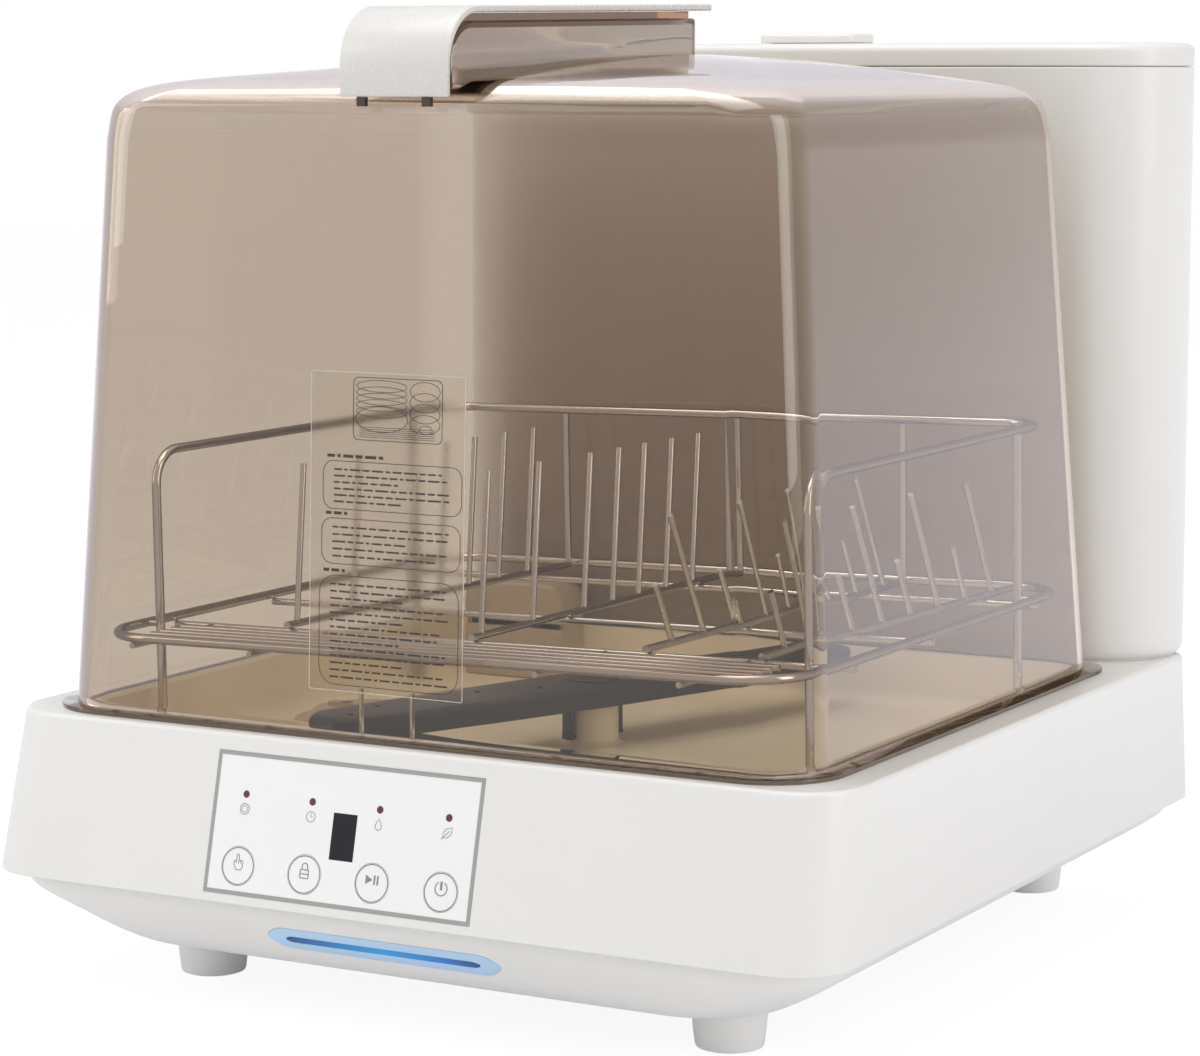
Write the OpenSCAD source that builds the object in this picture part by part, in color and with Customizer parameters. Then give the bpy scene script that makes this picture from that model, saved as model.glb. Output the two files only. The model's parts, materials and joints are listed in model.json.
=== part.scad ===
// Countertop dishwasher with a lift-off smoke hood, a wire dish rack and a
// lift-off rear water tank. Millimetres, +Z up, +Y to the rear, and the origin
// on the counter under the middle of the base.

/* [Base] */
// Width of the base at its lower edge
base_w = 420; // [400:1:440]
// Depth of the base at its lower edge
base_d = 424; // [410:1:440]
// Height of the skirt's lower edge above the counter
skirt_z = 52; // [46:1:60]
// Height of the flat deck that the hood stands on
deck_z = 123.5; // [116:0.5:134]
// How far the front face leans back from skirt to deck
front_lean = 17; // [8:1:24]
// How far each side leans in from skirt to deck
side_lean = 3; // [1:0.5:6]
// Plan radius of the two front corners
front_corner_r = 28; // [20:1:40]
// Plan radius of the two rear corners
rear_corner_r = 12; // [8:1:20]
// Wall of the upper casing
shell_wall = 3; // [2.5:0.5:4]
// Rounding of the deck's outer edge
deck_edge_r = 2; // [1:0.5:3]

/* [Belly] */
// Height of the belly's flat underside
belly_z = 18.5; // [14:0.5:24]
// Wall of the belly tray
belly_wall = 2.5; // [2:0.5:4]
// How far the flat underside lies in from each side of the skirt
belly_side_in = 56; // [40:1:64]
// How far the flat underside lies in from the front of the skirt
belly_front_in = 40; // [32:1:50]

/* [Feet] */
// Distance of a foot's axis in from the side of the base
foot_side_in = 78; // [76:1:90]
// Distance of the front feet's axes in from the front of the base
foot_front_in = 72; // [66:1:90]
// Distance of the rear feet's axes in from the rear of the base
foot_rear_in = 19; // [18:1:40]
// Radius of a foot at its top
foot_r = 16.5; // [13:0.5:17]
// Radius of a foot where it meets the counter
foot_tip_r = 14.5; // [11:0.5:17]

/* [Tub] */
// Outer width of the wash tub
tub_w = 354; // [330:1:358]
// Distance of the tub in from the front of the base
tub_front_in = 33; // [32:1:36]
// Distance of the tub in from the rear of the base, which is where the tank stands
tub_rear_in = 73; // [72:1:80]
// Height of the tub's floor
tub_floor_z = 98; // [94:0.5:102]
// Wall of the tub
tub_wall = 2.5; // [2:0.5:3]
// Plan radius of the tub's corners
tub_corner_r = 22; // [14:1:26]

/* [Hood] */
// How far the hood's wall stands outside the tub at each side
hood_side_out = 9; // [8:0.5:10]
// How far the hood's wall stands outside the tub at the front and the rear
hood_end_out = 5.5; // [5:0.5:6]
// Wall of the hood
hood_wall = 3; // [2.4:0.2:3.6]
// Thickness of the hood's foot flange
flange_t = 2; // [1.5:0.5:4]
// How far the flange stands out from the wall
flange_out = 7; // [5:0.5:8]
// Height of the hood's shoulder, where the walls start to round over
shoulder_z = 377; // [340:1:400]
// Height from the shoulder to the highest point of the domed top
crown_h = 37.5; // [30:0.5:44]
// Plan radius of the hood's vertical corners
hood_corner_r = 27; // [20:1:34]

/* [Handle] */
// Distance of the handle's middle to the left of the hood's middle
handle_left = 6; // [0:1:20]
// Width of the white handle cap
cap_w = 53; // [46:1:60]
// Thickness of the handle cap
cap_t = 3; // [2:0.5:4]
// Height of the cap's upper face where it starts to run back
cap_z = 434.4; // [430:0.2:440]
// Rise of the cap's upper face along its length, in degrees
cap_rise = 1; // [0:0.1:2]
// Width of the clear grip under the cap
grip_w = 48; // [40:1:50]
// Wall of the clear grip
grip_wall = 2.5; // [2:0.5:3]

/* [Tank] */
// Width of the water tank
tank_w = 394; // [370:1:394]
// Depth of the water tank
tank_d = 55; // [48:1:55]
// Distance of the tank's middle to the right of the base's middle
tank_right = 10; // [6:1:10]
// Height of the seam between tank and cover
tank_seam_z = 409; // [360:1:420]
// Height of the cover above the seam
cover_h = 11.5; // [9:0.5:14]
// Wall of the tank
tank_wall = 2.5; // [2:0.5:3.5]
// Plan radius of the tank's front corners
tank_front_r = 42; // [30:1:45]
// How deep the tank's foot sits in the deck
tank_sink = 9.5; // [7:0.5:11]
// Width of the filler cap
filler_w = 52; // [40:1:70]
// Depth of the filler cap
filler_d = 30; // [24:1:34]

/* [Rack] */
// Gap between the rack's lower ring and the hood's wall at each side, at its foot
rack_side_gap = 11.5; // [11:0.5:16]
// Gap between the rack's lower ring and the hood's wall at front and rear, at its foot
rack_end_gap = 10.5; // [10:0.5:16]
// Height of the ring's middle
rack_z = 159.5; // [156:0.5:164]
// Height of the upper rail above the ring
rail_rise = 79; // [60:1:86]
// Diameter of the ring, the rail and the legs
frame_d = 4.2; // [3.5:0.1:5]
// Diameter of the cross wires and tines
wire_d = 2.8; // [2:0.1:3.2]
// Sideways slope of the rack on its rests, in degrees
rack_roll = 1.1; // [0:0.1:1.4]
// Front-to-back slope of the rack on its rests, in degrees
rack_pitch = 0; // [0:0.1:1.4]
// Length of the plate tines
plate_tine_l = 73; // [50:1:80]
// Backward lean of the plate tines, in degrees
plate_tine_lean = 7; // [0:1:15]
// Length of the long bowl tines
bowl_tine_l = 64; // [45:1:68]
// Length of the short bowl tines
bowl_tine_s = 31; // [20:1:40]
// Forward lean of the bowl tines, in degrees
bowl_tine_lean = 29; // [10:1:32]

/* [Spray arm] */
// Gap between the turning arm's tips and the tub's walls
arm_tip_gap = 1.5; // [1.5:0.5:20]
// Width of the arm's blade
arm_w = 42; // [30:1:50]
// Height of the blade
arm_h = 10; // [8:0.5:11]
// Direction of the parked arm from the +X axis, in degrees
arm_yaw = 69; // [0:0.5:90]
// Radius of the fixed post that the arm turns on
post_r = 6; // [5:0.5:7]
// Running clearance between post and arm
arm_fit = 0.05; // [0.02:0.01:0.1]

/* [Control panel] */
// Width of the panel overlay with its border
panel_w = 134; // [120:1:150]
// Height of the panel overlay with its border, along the slope
panel_h = 61.5; // [58:0.5:63]
// Distance of the panel's middle to the left of the base's middle
panel_left = 20; // [0:1:60]
// Width of the grey border line
border_w = 1.8; // [1.2:0.1:2.5]
// Thickness of the overlay
overlay_t = 0.8; // [0.5:0.1:1.2]
// Distance between neighbouring keys, and between neighbouring lamps
key_pitch = 34; // [28:1:36]
// Radius of a key pad
key_r = 8.3; // [7:0.1:9]
// Gap round a key pad
key_gap = 0.3; // [0.2:0.05:0.5]
// Inward travel of a key
key_travel = 0.5; // [0.3:0.1:0.6]

/* [Pumps] */
// Radius of the wash pump's volute
volute_r = 27; // [22:1:28]
// Radius of the wash pump's motor can
motor_r = 24; // [18:1:25]
// Radius of the drain pump's volute
drain_volute_r = 18; // [14:1:20]

/* [Hidden] */

$fn = 48;
eps = 0.01;
// Rest gap between bodies that only stand on each other
rest_gap = 0.3;
// Gap round a part that drops into a pocket
pocket_gap = 0.5;

// ---- Casing ----
skirt_front = -base_d / 2;
skirt_rear = base_d / 2;
rear_lean = 1;
// Inner ledge that the belly tray's rim sits under
ledge_z = skirt_z + 5.3;
ledge_t = 2;
tray_rim_t = 3;
// The belly's rim stands inside the shell's rear wall
belly_rear_in = shell_wall + rest_gap;
// Rows of the belly's outline: [height, side inset, front inset, rear inset, front corner radius]
belly_h = skirt_z - belly_z;
belly_rows = [
    [skirt_z + 2, belly_side_in * 0.125, belly_front_in * 0.2, belly_rear_in, front_corner_r - 4],
    [skirt_z - belly_h * 0.209, belly_side_in * 0.196, belly_front_in * 0.266, belly_rear_in,
        front_corner_r - 2],
    [skirt_z - belly_h * 0.373, belly_side_in * 0.32, belly_front_in * 0.366, belly_rear_in,
        front_corner_r],
    [skirt_z - belly_h * 0.567, belly_side_in * 0.5, belly_front_in * 0.483, belly_rear_in + 0.1,
        front_corner_r + 4],
    [skirt_z - belly_h * 0.746, belly_side_in * 0.692, belly_front_in * 0.592, belly_rear_in + 0.3,
        front_corner_r + 6],
    [skirt_z - belly_h * 0.896, belly_side_in * 0.858, belly_front_in * 0.75, belly_rear_in + 0.7,
        front_corner_r + 8],
    [belly_z, belly_side_in, belly_front_in, 5.5, front_corner_r + 8]
];
deck_t = 3;

foot_x = base_w / 2 - foot_side_in;
front_foot_y = base_d / 2 - foot_front_in;
rear_foot_y = base_d / 2 - foot_rear_in;
foot_block_r = 9;
foot_block_h = 9;
foot_pocket_r = 4.6;
foot_pocket_h = 7;

// ---- Tub ----
tub_d = base_d - tub_front_in - tub_rear_in;
tub_y = (tub_front_in - tub_rear_in) / 2;
tub_top_z = deck_z + 1.4;
// The lip stays inside the hood's wall
tub_lip = hood_side_out - hood_wall - 0.4;
tub_lip_y = hood_end_out - hood_wall - 0.4;
hub_r = 12;
hub_top_z = tub_floor_z + 18;
post_top_z = hub_top_z + 8;
filter_x = -base_w / 2 + 92;
filter_y = tub_y - 10;
tower_w = 58;
tower_d = 23;
tower_x = filter_x - 32;
tower_wall = 3;
tower_shoulder_h = 40;
tower_h = 49;
tower_corner_r = 9;
tower_slot_z = 26.5;
tower_slot_h = 3;
sump_r = 31.5;
sump_wall = 3;
sump_bottom_z = 52;

// ---- Hood ----
hood_w = tub_w + 2 * hood_side_out;
hood_d = tub_d + 2 * hood_end_out;
hood_y = tub_y;
hood_front = hood_y - hood_d / 2;
hood_rear = hood_y + hood_d / 2;
flange_z = deck_z + rest_gap;
wall_foot_z = flange_z + flange_t;
hood_slice_t = 0.05;
// Rows of the hood's outline: [height, side inset, front inset, rear inset, corner radius]
hood_rows = [
    [wall_foot_z, 0, 0, 0, hood_corner_r],
    [shoulder_z, 15, 8.5, 14.5, hood_corner_r],
    [shoulder_z + crown_h * 0.35, 17.5, 9.8, 17, hood_corner_r],
    [shoulder_z + crown_h * 0.52, 22, 13, 21.5, hood_corner_r + 1],
    [shoulder_z + crown_h * 0.63, 30, 19, 29, hood_corner_r + 4],
    [shoulder_z + crown_h * 0.7, 41, 29, 40, hood_corner_r + 8],
    [shoulder_z + crown_h * 0.8, 66, 66, 56, hood_corner_r + 14],
    [shoulder_z + crown_h * 0.92, 105, 130, 78, hood_corner_r + 14],
    [shoulder_z + crown_h, 150, 196, 104, 12]
];

// ---- Handle ----
cap_front = hood_front + 3;
cap_bottom_z = shoulder_z + 19.5;
cap_bend_r = 26;
cap_bend_y = cap_front + cap_bend_r;
cap_rear = hood_rear - 87;
grip_rear = hood_rear - 98.5;
grip_drop = 4;
rib_xs = [-24, 1.5];
rib_w = 1.2;
rib_h = 19;
film_w = 77;
film_x = -49;
film_z0 = 144;
film_z1 = 281;
film_t = 0.3;

// ---- Tank ----
tank_rear = base_d / 2 - rear_lean;
tank_front = tank_rear - tank_d;
tank_rear_r = 12;
tank_foot_in = 3.5;
tank_foot_z = deck_z - tank_sink;
tank_shoulder_z = deck_z + 0.8;
tank_full_z = tank_shoulder_z + 5;
tank_y = (tank_front + tank_rear) / 2;
recess_floor_z = tank_foot_z - rest_gap;
recess_wall = 3;
// Valve in the tank's floor and its socket in the deck
barrel_r = 11;
barrel_bottom_z = tank_foot_z - 12;
socket_r = barrel_r + 2;
socket_wall = 3;
seat_r = 4.5;
poppet_r = 7;
poppet_t = 2.5;
stem_r = 1.5;
stem_fit = 0.05;
// The filler cap's middle beside the valve and behind the tank's middle
filler_right = 4;
filler_back = 2;
filler_x = tank_right + filler_right;
filler_y = tank_y + filler_back;
filler_flange = 5;
chamber_r = barrel_r - 2;
valve_lift = 3;
seat_z = barrel_bottom_z + 3;
poppet_z = seat_z + valve_lift;
spider_z = poppet_z + poppet_t + 8;
spider_t = 3;

// ---- Rack ----
rack_w = hood_w - 2 * rack_side_gap;
rack_d = hood_d - 2 * rack_end_gap;
rack_y = hood_y - 1;
ring_r = 30;
rail_x = rack_w / 2 - 10;
rail_front_y = -rack_d / 2 + 44;
rail_rear_y = rack_d / 2 - 7;
rail_r = 20;
rear_leg_y = rack_d / 2 - 44;
rear_leg_in = 0.8;
front_wire_pitch = 8;
front_wire_count = 5;
front_wire_end = rack_w / 2 - 23.5;
// Places along the ring, as shares of its width or its depth
share_x = rack_w / 349;
share_y = rack_d / 308;
front_stays_x = [for (x = [-150, -87, 57, 125]) x * share_x];
cross_ys = [for (y = [-87, -7, 115]) y * share_y];
bar_front_y = cross_ys[0];
bar_rear_y = rail_rear_y - frame_d / 2;
// Front and rear X of each tine bar
plate_rows_x = [[-108, -94] * share_x, [-10, -2] * share_x];
bowl_rows_x = [[77, 90] * share_x, [132, 146] * share_x];
bar_d = wire_d + 0.6;
cross_d = wire_d + 0.4;
// Heights of the wires that lie under the ring, and of those that lie on them
weld_gap = 0.05;
stay_z = -(frame_d + wire_d) / 2 - weld_gap;
cross_z = -(frame_d + cross_d) / 2 - weld_gap;
front_wire_z = stay_z + wire_d + weld_gap;
bar_z = cross_z + (cross_d + bar_d) / 2 + weld_gap;
// Steps between plate tines: wide ones in front for deep plates, then narrow ones
plate_steps = [for (step = [0, 43, 88, 114, 138, 164, 190]) step * share_y];
plate_first_y = bar_front_y + 4;
bowl_pitch = 27.5 * share_y;
bowl_count = 8;
bowl_first_y = bar_front_y + 19;
boot_wall = 1.6;
boot_h = 10;
boot_floor = 2;
rail_bend_r = 16;

// ---- Spray arm ----
arm_l = tub_d - 2 * (tub_wall + arm_tip_gap);
arm_z = hub_top_z + 2;
arm_wall = 1.6;
snap_leg_r = hub_r + 2;
snap_leg_w = 6;
snap_leg_t = 3;
arm_boss_r = 11;
// Nozzles along each half of the arm, as shares of its half length
nozzle_xs = [for (share = [0.232, 0.413, 0.594, 0.774, 0.916]) share * arm_l / 2];
nozzle_r = 1.3;
nozzle_side = 5;

// ---- Panel ----
face_rise = deck_z - skirt_z;
face_angle = atan(front_lean / face_rise);
panel_slope_mid = 35;
panel_y = skirt_front + panel_slope_mid * sin(face_angle);
panel_z = skirt_z + panel_slope_mid * cos(face_angle);
key_row = -18.2;
lamp_row = 12.8;
lamp_r = 1.6;
// Depth behind the panel of a key's rear face, and of its switch
key_t = 1.7;
switch_y = 6.6;
display_w = 12;
display_h = 20;
board_y = 10;
board_t = 1.6;
board_h = 49;
board_post_x = panel_w / 2 - 3.2;
board_post_z = 21;
window_w = panel_w - 12;

// ---- Light strip on the belly ----
light_x = -6;
light_w = 120;
light_h = 13;
light_t = 3;
bar_w = 99;
bar_h = 3.4;
light_low = belly_rows[4];
light_high = belly_rows[1];
light_tilt = atan((light_low[2] - light_high[2]) / (light_high[0] - light_low[0]));
light_mid_z = (light_low[0] + light_high[0]) / 2 - 0.5;
light_mid_in = light_high[2] + (light_high[0] - light_mid_z) * tan(light_tilt) - 0.5;

// ---- Pumps ----
pump_x = filter_x;
pump_z = 62;
wash_y0 = filter_y + sump_r + sump_wall + 6;
volute_l = 24;
volute_wall = 2.5;
motor_l = 46;
shaft_r = 3;
shaft_fit = 0.05;
drain_y1 = filter_y - sump_r - sump_wall - 6;
drain_volute_l = 16;
drain_motor_l = 30;
pump_port_r = 9;
pump_bore_r = 6.5;
outlet_x = -base_w / 2 + 60;
outlet_z = 36;
outlet_r = 6.5;
outlet_root_r = 7;
outlet_free_l = 16;
outlet_bore_r = 4.5;
outlet_pocket_r = 13.5;
outlet_pocket_d = 20;
hose_r = 7;
// Route of the inner drain hose from the pump's port along the left wall to the outlet
port_x = pump_x - 32.3;
port_y = drain_y1 - drain_volute_l / 2;
port_z = pump_z - 4;
hose_x = outlet_x - 21;
hose_end_y = skirt_rear - outlet_pocket_d - 19.3;
hose_points = [[port_x, port_y, port_z], [port_x - 11.7, port_y, port_z],
    [hose_x + 1, port_y + 14.5, port_z - 6], [hose_x, port_y + 48.5, port_z - 8],
    [hose_x, port_y + 98.5, port_z - 9], [hose_x, hose_end_y - 102.7, outlet_z + 11],
    [hose_x, hose_end_y - 57.7, outlet_z + 8], [hose_x + 3, hose_end_y - 30.7, outlet_z + 4],
    [outlet_x - 7, hose_end_y - 14.7, outlet_z + 1], [outlet_x, hose_end_y - 5.7, outlet_z],
    [outlet_x, hose_end_y, outlet_z]];

heater_r = 52;
heater_t = 5;
heater_bore_r = 13;
power_w = 110;
power_d = 46;
power_x = base_w / 2 - 160;
power_y = skirt_rear - 66;
power_posts_x = [power_x + 10, power_x + 100];
power_posts_y = [power_y + 6, power_y + 40];
gland_x = base_w / 2 - 110;
gland_z = 36;
gland_r = 7;
gland_bore_r = 3.7;
board_post_r = 3;
case_screw_x = tub_w / 2 - 27;
case_screw_ys = [drain_y1 - drain_volute_l - 13.5, tub_y + tub_d / 2 - 35];
screw_tube_r = 6.5;
screw_head_well_r = 4.5;
screw_tube_top_z = 70;

// Rounded rectangle from (x0, y0) to (x1, y1) with its own front and rear corner radii
module round_rect(x0, x1, y0, y1, rf, rb) {
    polygon([[x0 + rf, y0], [x1 - rf, y0], [x1, y0 + rf], [x1, y1 - rb],
        [x1 - rb, y1], [x0 + rb, y1], [x0, y1 - rb], [x0, y0 + rf]]);
    for (s = [0, 1]) {
        translate([s == 0 ? x0 + rf : x1 - rf, y0 + rf]) mirror([s, 0]) quarter(rf);
        translate([s == 0 ? x0 + rb : x1 - rb, y1 - rb]) mirror([s, 0]) mirror([0, 1]) quarter(rb);
    }
}

// Quarter disc of radius r on the left and front of the origin
module quarter(r) {
    intersection() {
        circle(r);
        translate([-r, -r]) square(r);
    }
}

// Upright prism on a rounded rectangle, from z0 to z1
module prism(z0, z1, x0, x1, y0, y1, rf, rb) {
    translate([0, 0, z0]) linear_extrude(z1 - z0) round_rect(x0, x1, y0, y1, rf, rb);
}

// Thin slice of a casing at height z, moved in from the skirt's outline
module slice(z, side, front, rear, rf, rb) {
    prism(z, z + eps, -base_w / 2 + side, base_w / 2 - side,
        skirt_front + front, skirt_rear - rear, rf, rb, $fn = 32);
}

// Cylinder from point p to point q
module rod(p, q, r) {
    v = q - p;
    l = norm(v);
    translate(p) rotate([0, acos(v.z / l), atan2(v.y, v.x)]) cylinder(r = r, h = l);
}

// Cylinder of radius r along +Y, from y0 to y1
module y_rod(x, z, y0, y1, r) {
    translate([x, y0, z]) rotate([-90, 0, 0]) cylinder(r = r, h = y1 - y0);
}

// Quarter bend of wire in the XY plane about the origin, from angle a
module bend(r, wire_r, a, sweep = 90) {
    rotate([0, 0, a]) rotate_extrude(angle = sweep) translate([r, 0]) circle(wire_r, $fn = 16);
}

// ---- Casing ----

module casing_block(inset, z0, z1, top_round) {
    rf = front_corner_r - inset;
    rb = max(rear_corner_r - inset, 3);
    part = (z0 - skirt_z) / face_rise;
    top = (z1 - skirt_z) / face_rise;
    hull() {
        slice(z0, side_lean * part + inset, front_lean * part + inset, rear_lean * part + inset, rf, rb);
        slice(z1 - top_round - eps, side_lean * top + inset, front_lean * top + inset,
            rear_lean * top + inset, rf, rb);
        if (top_round > 0) {
            slice(z1 - top_round * 0.3, side_lean + inset + top_round * 0.3,
                front_lean + inset + top_round * 0.3, rear_lean + inset + top_round * 0.3, rf, rb);
            slice(z1 - eps, side_lean + inset + top_round, front_lean + inset + top_round,
                rear_lean + inset + top_round, rf, rb);
        }
    }
}

// Outline of the tub, grown sideways by grow and lengthways by grow_y
module tub_plan(grow, grow_y) {
    round_rect(-tub_w / 2 - grow, tub_w / 2 + grow, tub_y - tub_d / 2 - grow_y, tub_y + tub_d / 2 + grow_y,
        tub_corner_r + grow_y, tub_corner_r + grow_y);
}

module tank_plan(inset) {
    round_rect(tank_right - tank_w / 2 + inset, tank_right + tank_w / 2 - inset,
        tank_front + inset, tank_rear - inset, tank_front_r - inset, tank_rear_r - inset);
}

// Places its children on the sloping front face: local X to the right, local Z up
// the slope, local Y into the casing, and the origin at the panel's middle
module on_panel() {
    translate([-panel_left, panel_y, panel_z]) rotate([-face_angle, 0, 0]) children();
}

module base_shell() {
    color("#f1f0ee") difference() {
        union() {
            difference() {
                casing_block(0, skirt_z, deck_z, deck_edge_r);
                casing_block(shell_wall, skirt_z - 1, ledge_z, 0);
                casing_block(shell_wall + ledge_t, skirt_z - 1, deck_z - deck_t, 0);
            }
            // Pocket for the tank's foot
            translate([0, 0, recess_floor_z - recess_wall])
                linear_extrude(deck_z - deck_t - recess_floor_z + recess_wall + 1)
                    tank_plan(tank_foot_in - pocket_gap - recess_wall + 0.4);
            // Posts that hold the control board
            on_panel() for (x = [-board_post_x, board_post_x], z = [-board_post_z, board_post_z])
                translate([x, shell_wall - 0.5, z]) rotate([-90, 0, 0])
                    cylinder(r = board_post_r, h = board_y - shell_wall + 0.5);
        }
        translate([0, 0, tub_floor_z]) linear_extrude(deck_z) tub_plan(pocket_gap, pocket_gap);
        translate([0, 0, recess_floor_z]) linear_extrude(tank_sink + 5)
            tank_plan(tank_foot_in - pocket_gap);
        translate([tank_right, tank_y, recess_floor_z - recess_wall - 5])
            cylinder(r = socket_r + socket_wall + 0.1, h = recess_wall + 10);
        on_panel() {
            translate([-panel_w / 2 - 0.1, -5, -panel_h / 2 - 0.1])
                cube([panel_w + 0.2, 5 + overlay_t, panel_h + 0.2]);
            translate([-window_w / 2, -1, key_row - key_r - 1.4])
                cube([window_w, 8, lamp_row - key_row + key_r + 6]);
        }
    }
}

// The belly's outer form, or with its wall taken off its inner form
module belly_form(wall) {
    hull() for (row = belly_rows)
        slice(row[0] + (row[0] < skirt_z ? wall : 0), row[1] + wall, row[2] + wall,
        row[3] + wall, row[4], rear_corner_r);
}

// Places its children on the belly's sloping front: local X right, local Z up the
// slope, local Y inward, and the origin at the light strip's middle
module on_light() {
    translate([light_x, skirt_front + light_mid_in, light_mid_z]) rotate([light_tilt, 0, 0]) children();
}

module belly_tray() {
    color("#efeeec") difference() {
        union() {
            difference() {
                union() {
                    belly_form(0);
                    prism(skirt_z + 2, ledge_z - 0.3,
                        -base_w / 2 + shell_wall + 0.5, base_w / 2 - shell_wall - 0.5,
                        skirt_front + shell_wall + 1.8, skirt_rear - shell_wall - 0.5,
                        front_corner_r - 3, rear_corner_r - 3);
                }
                belly_form(belly_wall);
                prism(skirt_z, ledge_z + 5, -base_w / 2 + 7 + belly_wall, base_w / 2 - 7 - belly_wall,
                    skirt_front + 8 + belly_wall, skirt_rear - 3 - belly_wall,
                    front_corner_r - 5, rear_corner_r - 2);
            }
            // Tubes that the case screws pass up through
            for (x = [-case_screw_x, case_screw_x], y = case_screw_ys)
                translate([x, y, belly_z + 1])
                    cylinder(r = screw_tube_r, h = screw_tube_top_z - belly_z - 1);
            // Blocks that the feet are screwed to
            for (x = [-foot_x, foot_x], y = [-front_foot_y, rear_foot_y])
                translate([x, y, belly_z + 0.5]) cylinder(r = foot_block_r, h = foot_block_h);
            // Cradles under the motors
            translate([pump_x - 15, wash_y0 + volute_l + 14, belly_z + 1])
                cube([30, 20, pump_z - belly_z - 15]);
            translate([pump_x - 11, drain_y1 - drain_volute_l - 22, belly_z + 1])
                cube([22, 14, pump_z - belly_z - 9]);
            // Posts for the power board
            for (x = power_posts_x, y = power_posts_y)
                translate([x, y, belly_z + 1]) cylinder(r = board_post_r, h = 21);
            // Cup round the drain outlet
            y_rod(outlet_x, outlet_z, skirt_rear - outlet_pocket_d - 5, skirt_rear - 4,
                outlet_pocket_r + 2);
        }
        y_rod(outlet_x, outlet_z, skirt_rear - outlet_pocket_d - 2, skirt_rear + 1, outlet_pocket_r);
        y_rod(outlet_x, outlet_z, skirt_rear - outlet_pocket_d - 8, skirt_rear, outlet_root_r + 0.1);
        y_rod(gland_x, gland_z, skirt_rear - 12, skirt_rear + 1, gland_r + 0.1);
        y_rod(pump_x, pump_z, wash_y0, wash_y0 + 90, motor_r + 0.2);
        y_rod(pump_x, pump_z, drain_y1 - 70, drain_y1, 15.2);
        for (x = [-case_screw_x, case_screw_x], y = case_screw_ys) translate([x, y, 0]) {
            cylinder(r = screw_head_well_r, h = 44);
            cylinder(r = 2.2, h = 90);
        }
        for (x = [-foot_x, foot_x], y = [-front_foot_y, rear_foot_y])
            translate([x, y, 0]) cylinder(r = 2.05, h = belly_z + 8);
        on_light() translate([-light_w / 2 - 0.1, -8, -light_h / 2 - 0.1])
            cube([light_w + 0.2, 16, light_h + 0.2]);
    }
}

module foot(x, y) {
    color("#e4e2df") translate([x, y, 0]) difference() {
        union() {
            cylinder(r1 = foot_tip_r, r2 = foot_tip_r + 1, h = 1);
            translate([0, 0, 1]) cylinder(r1 = foot_tip_r + 1, r2 = foot_r, h = belly_z - 1);
        }
        translate([0, 0, -1]) cylinder(r = foot_pocket_r, h = foot_pocket_h + 1);
        cylinder(r = 2.2, h = belly_z + 1);
    }
}

module screw(z_head, z_tip, head_r, shank_r) {
    translate([0, 0, z_head]) difference() {
        cylinder(r = head_r, h = 2.6);
        translate([0, 0, -0.5]) cylinder(r = 1.6, h = 2, $fn = 6);
    }
    translate([0, 0, z_head + 2.6]) cylinder(r = shank_r, h = z_tip - z_head - 2.6);
}

module foot_screws() {
    color("silver") for (x = [-foot_x, foot_x], y = [-front_foot_y, rear_foot_y])
        translate([x, y, 0]) screw(4.4, belly_z + 7, 4, 2);
}

module case_screws() {
    color("silver") for (x = [-case_screw_x, case_screw_x], y = case_screw_ys)
        translate([x, y, 0]) screw(41.4, tub_floor_z - 8, 4, 2);
}

// ---- Tub and water system ----

module wash_tub() {
    color("#d9cbb2") difference() {
        union() {
            translate([0, 0, tub_floor_z - tub_wall]) linear_extrude(deck_z - tub_floor_z + tub_wall + 0.2)
                tub_plan(0, 0);
            translate([0, 0, deck_z + 0.1]) linear_extrude(tub_top_z - deck_z - 0.1)
                tub_plan(tub_lip, tub_lip_y);
            for (x = [-case_screw_x, case_screw_x], y = case_screw_ys)
                translate([x, y, screw_tube_top_z + 0.2])
                    cylinder(r = screw_tube_r, h = tub_floor_z - screw_tube_top_z - 2);
        }
        difference() {
            translate([0, 0, tub_floor_z]) linear_extrude(40) tub_plan(-tub_wall, -tub_wall);
            // Fixed hub that carries the spray arm
            translate([0, tub_y, tub_floor_z - 1]) cylinder(r = hub_r, h = hub_top_z - tub_floor_z + 1);
            translate([0, tub_y, tub_floor_z - 1]) cylinder(r = post_r, h = post_top_z - tub_floor_z + 1);
        }
        translate([0, tub_y, tub_floor_z - 10]) cylinder(r = post_r - 2, h = 60);
        translate([filter_x, filter_y, tub_floor_z - 10]) cylinder(r = sump_r, h = 20);
        for (x = [-case_screw_x, case_screw_x], y = case_screw_ys)
            translate([x, y, 60]) cylinder(r = 2.05, h = tub_floor_z - 66);
    }
}

// Beige tower at the tub's rear left, where the fresh water enters
module inlet_tower() {
    x0 = tower_x;
    x1 = tower_x + tower_w;
    y1 = tub_y + tub_d / 2 - tub_wall;
    r = tower_corner_r;
    color("#d9cbb2") difference() {
        translate([0, y1, 0]) rotate([90, 0, 0]) linear_extrude(tower_d) {
            translate([x0, tub_floor_z + 0.1]) square([tower_w, tower_shoulder_h]);
            translate([x0 + r, tub_floor_z + tower_shoulder_h - 10]) square([tower_w - 2 * r, r + 10]);
            for (x = [x0 + r, x1 - r]) translate([x, tub_floor_z + tower_shoulder_h]) circle(r);
        }
        translate([x0 + tower_wall, y1 - tower_d + tower_wall, tub_floor_z - 1])
            cube([tower_w - 2 * tower_wall, tower_d - 2 * tower_wall, tower_h - 4]);
        translate([x0 - 1, y1 - tower_d - 1, tub_floor_z + tower_slot_z])
            cube([tower_w + 2, tower_wall + 1.5, tower_slot_h]);
    }
}

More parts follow.
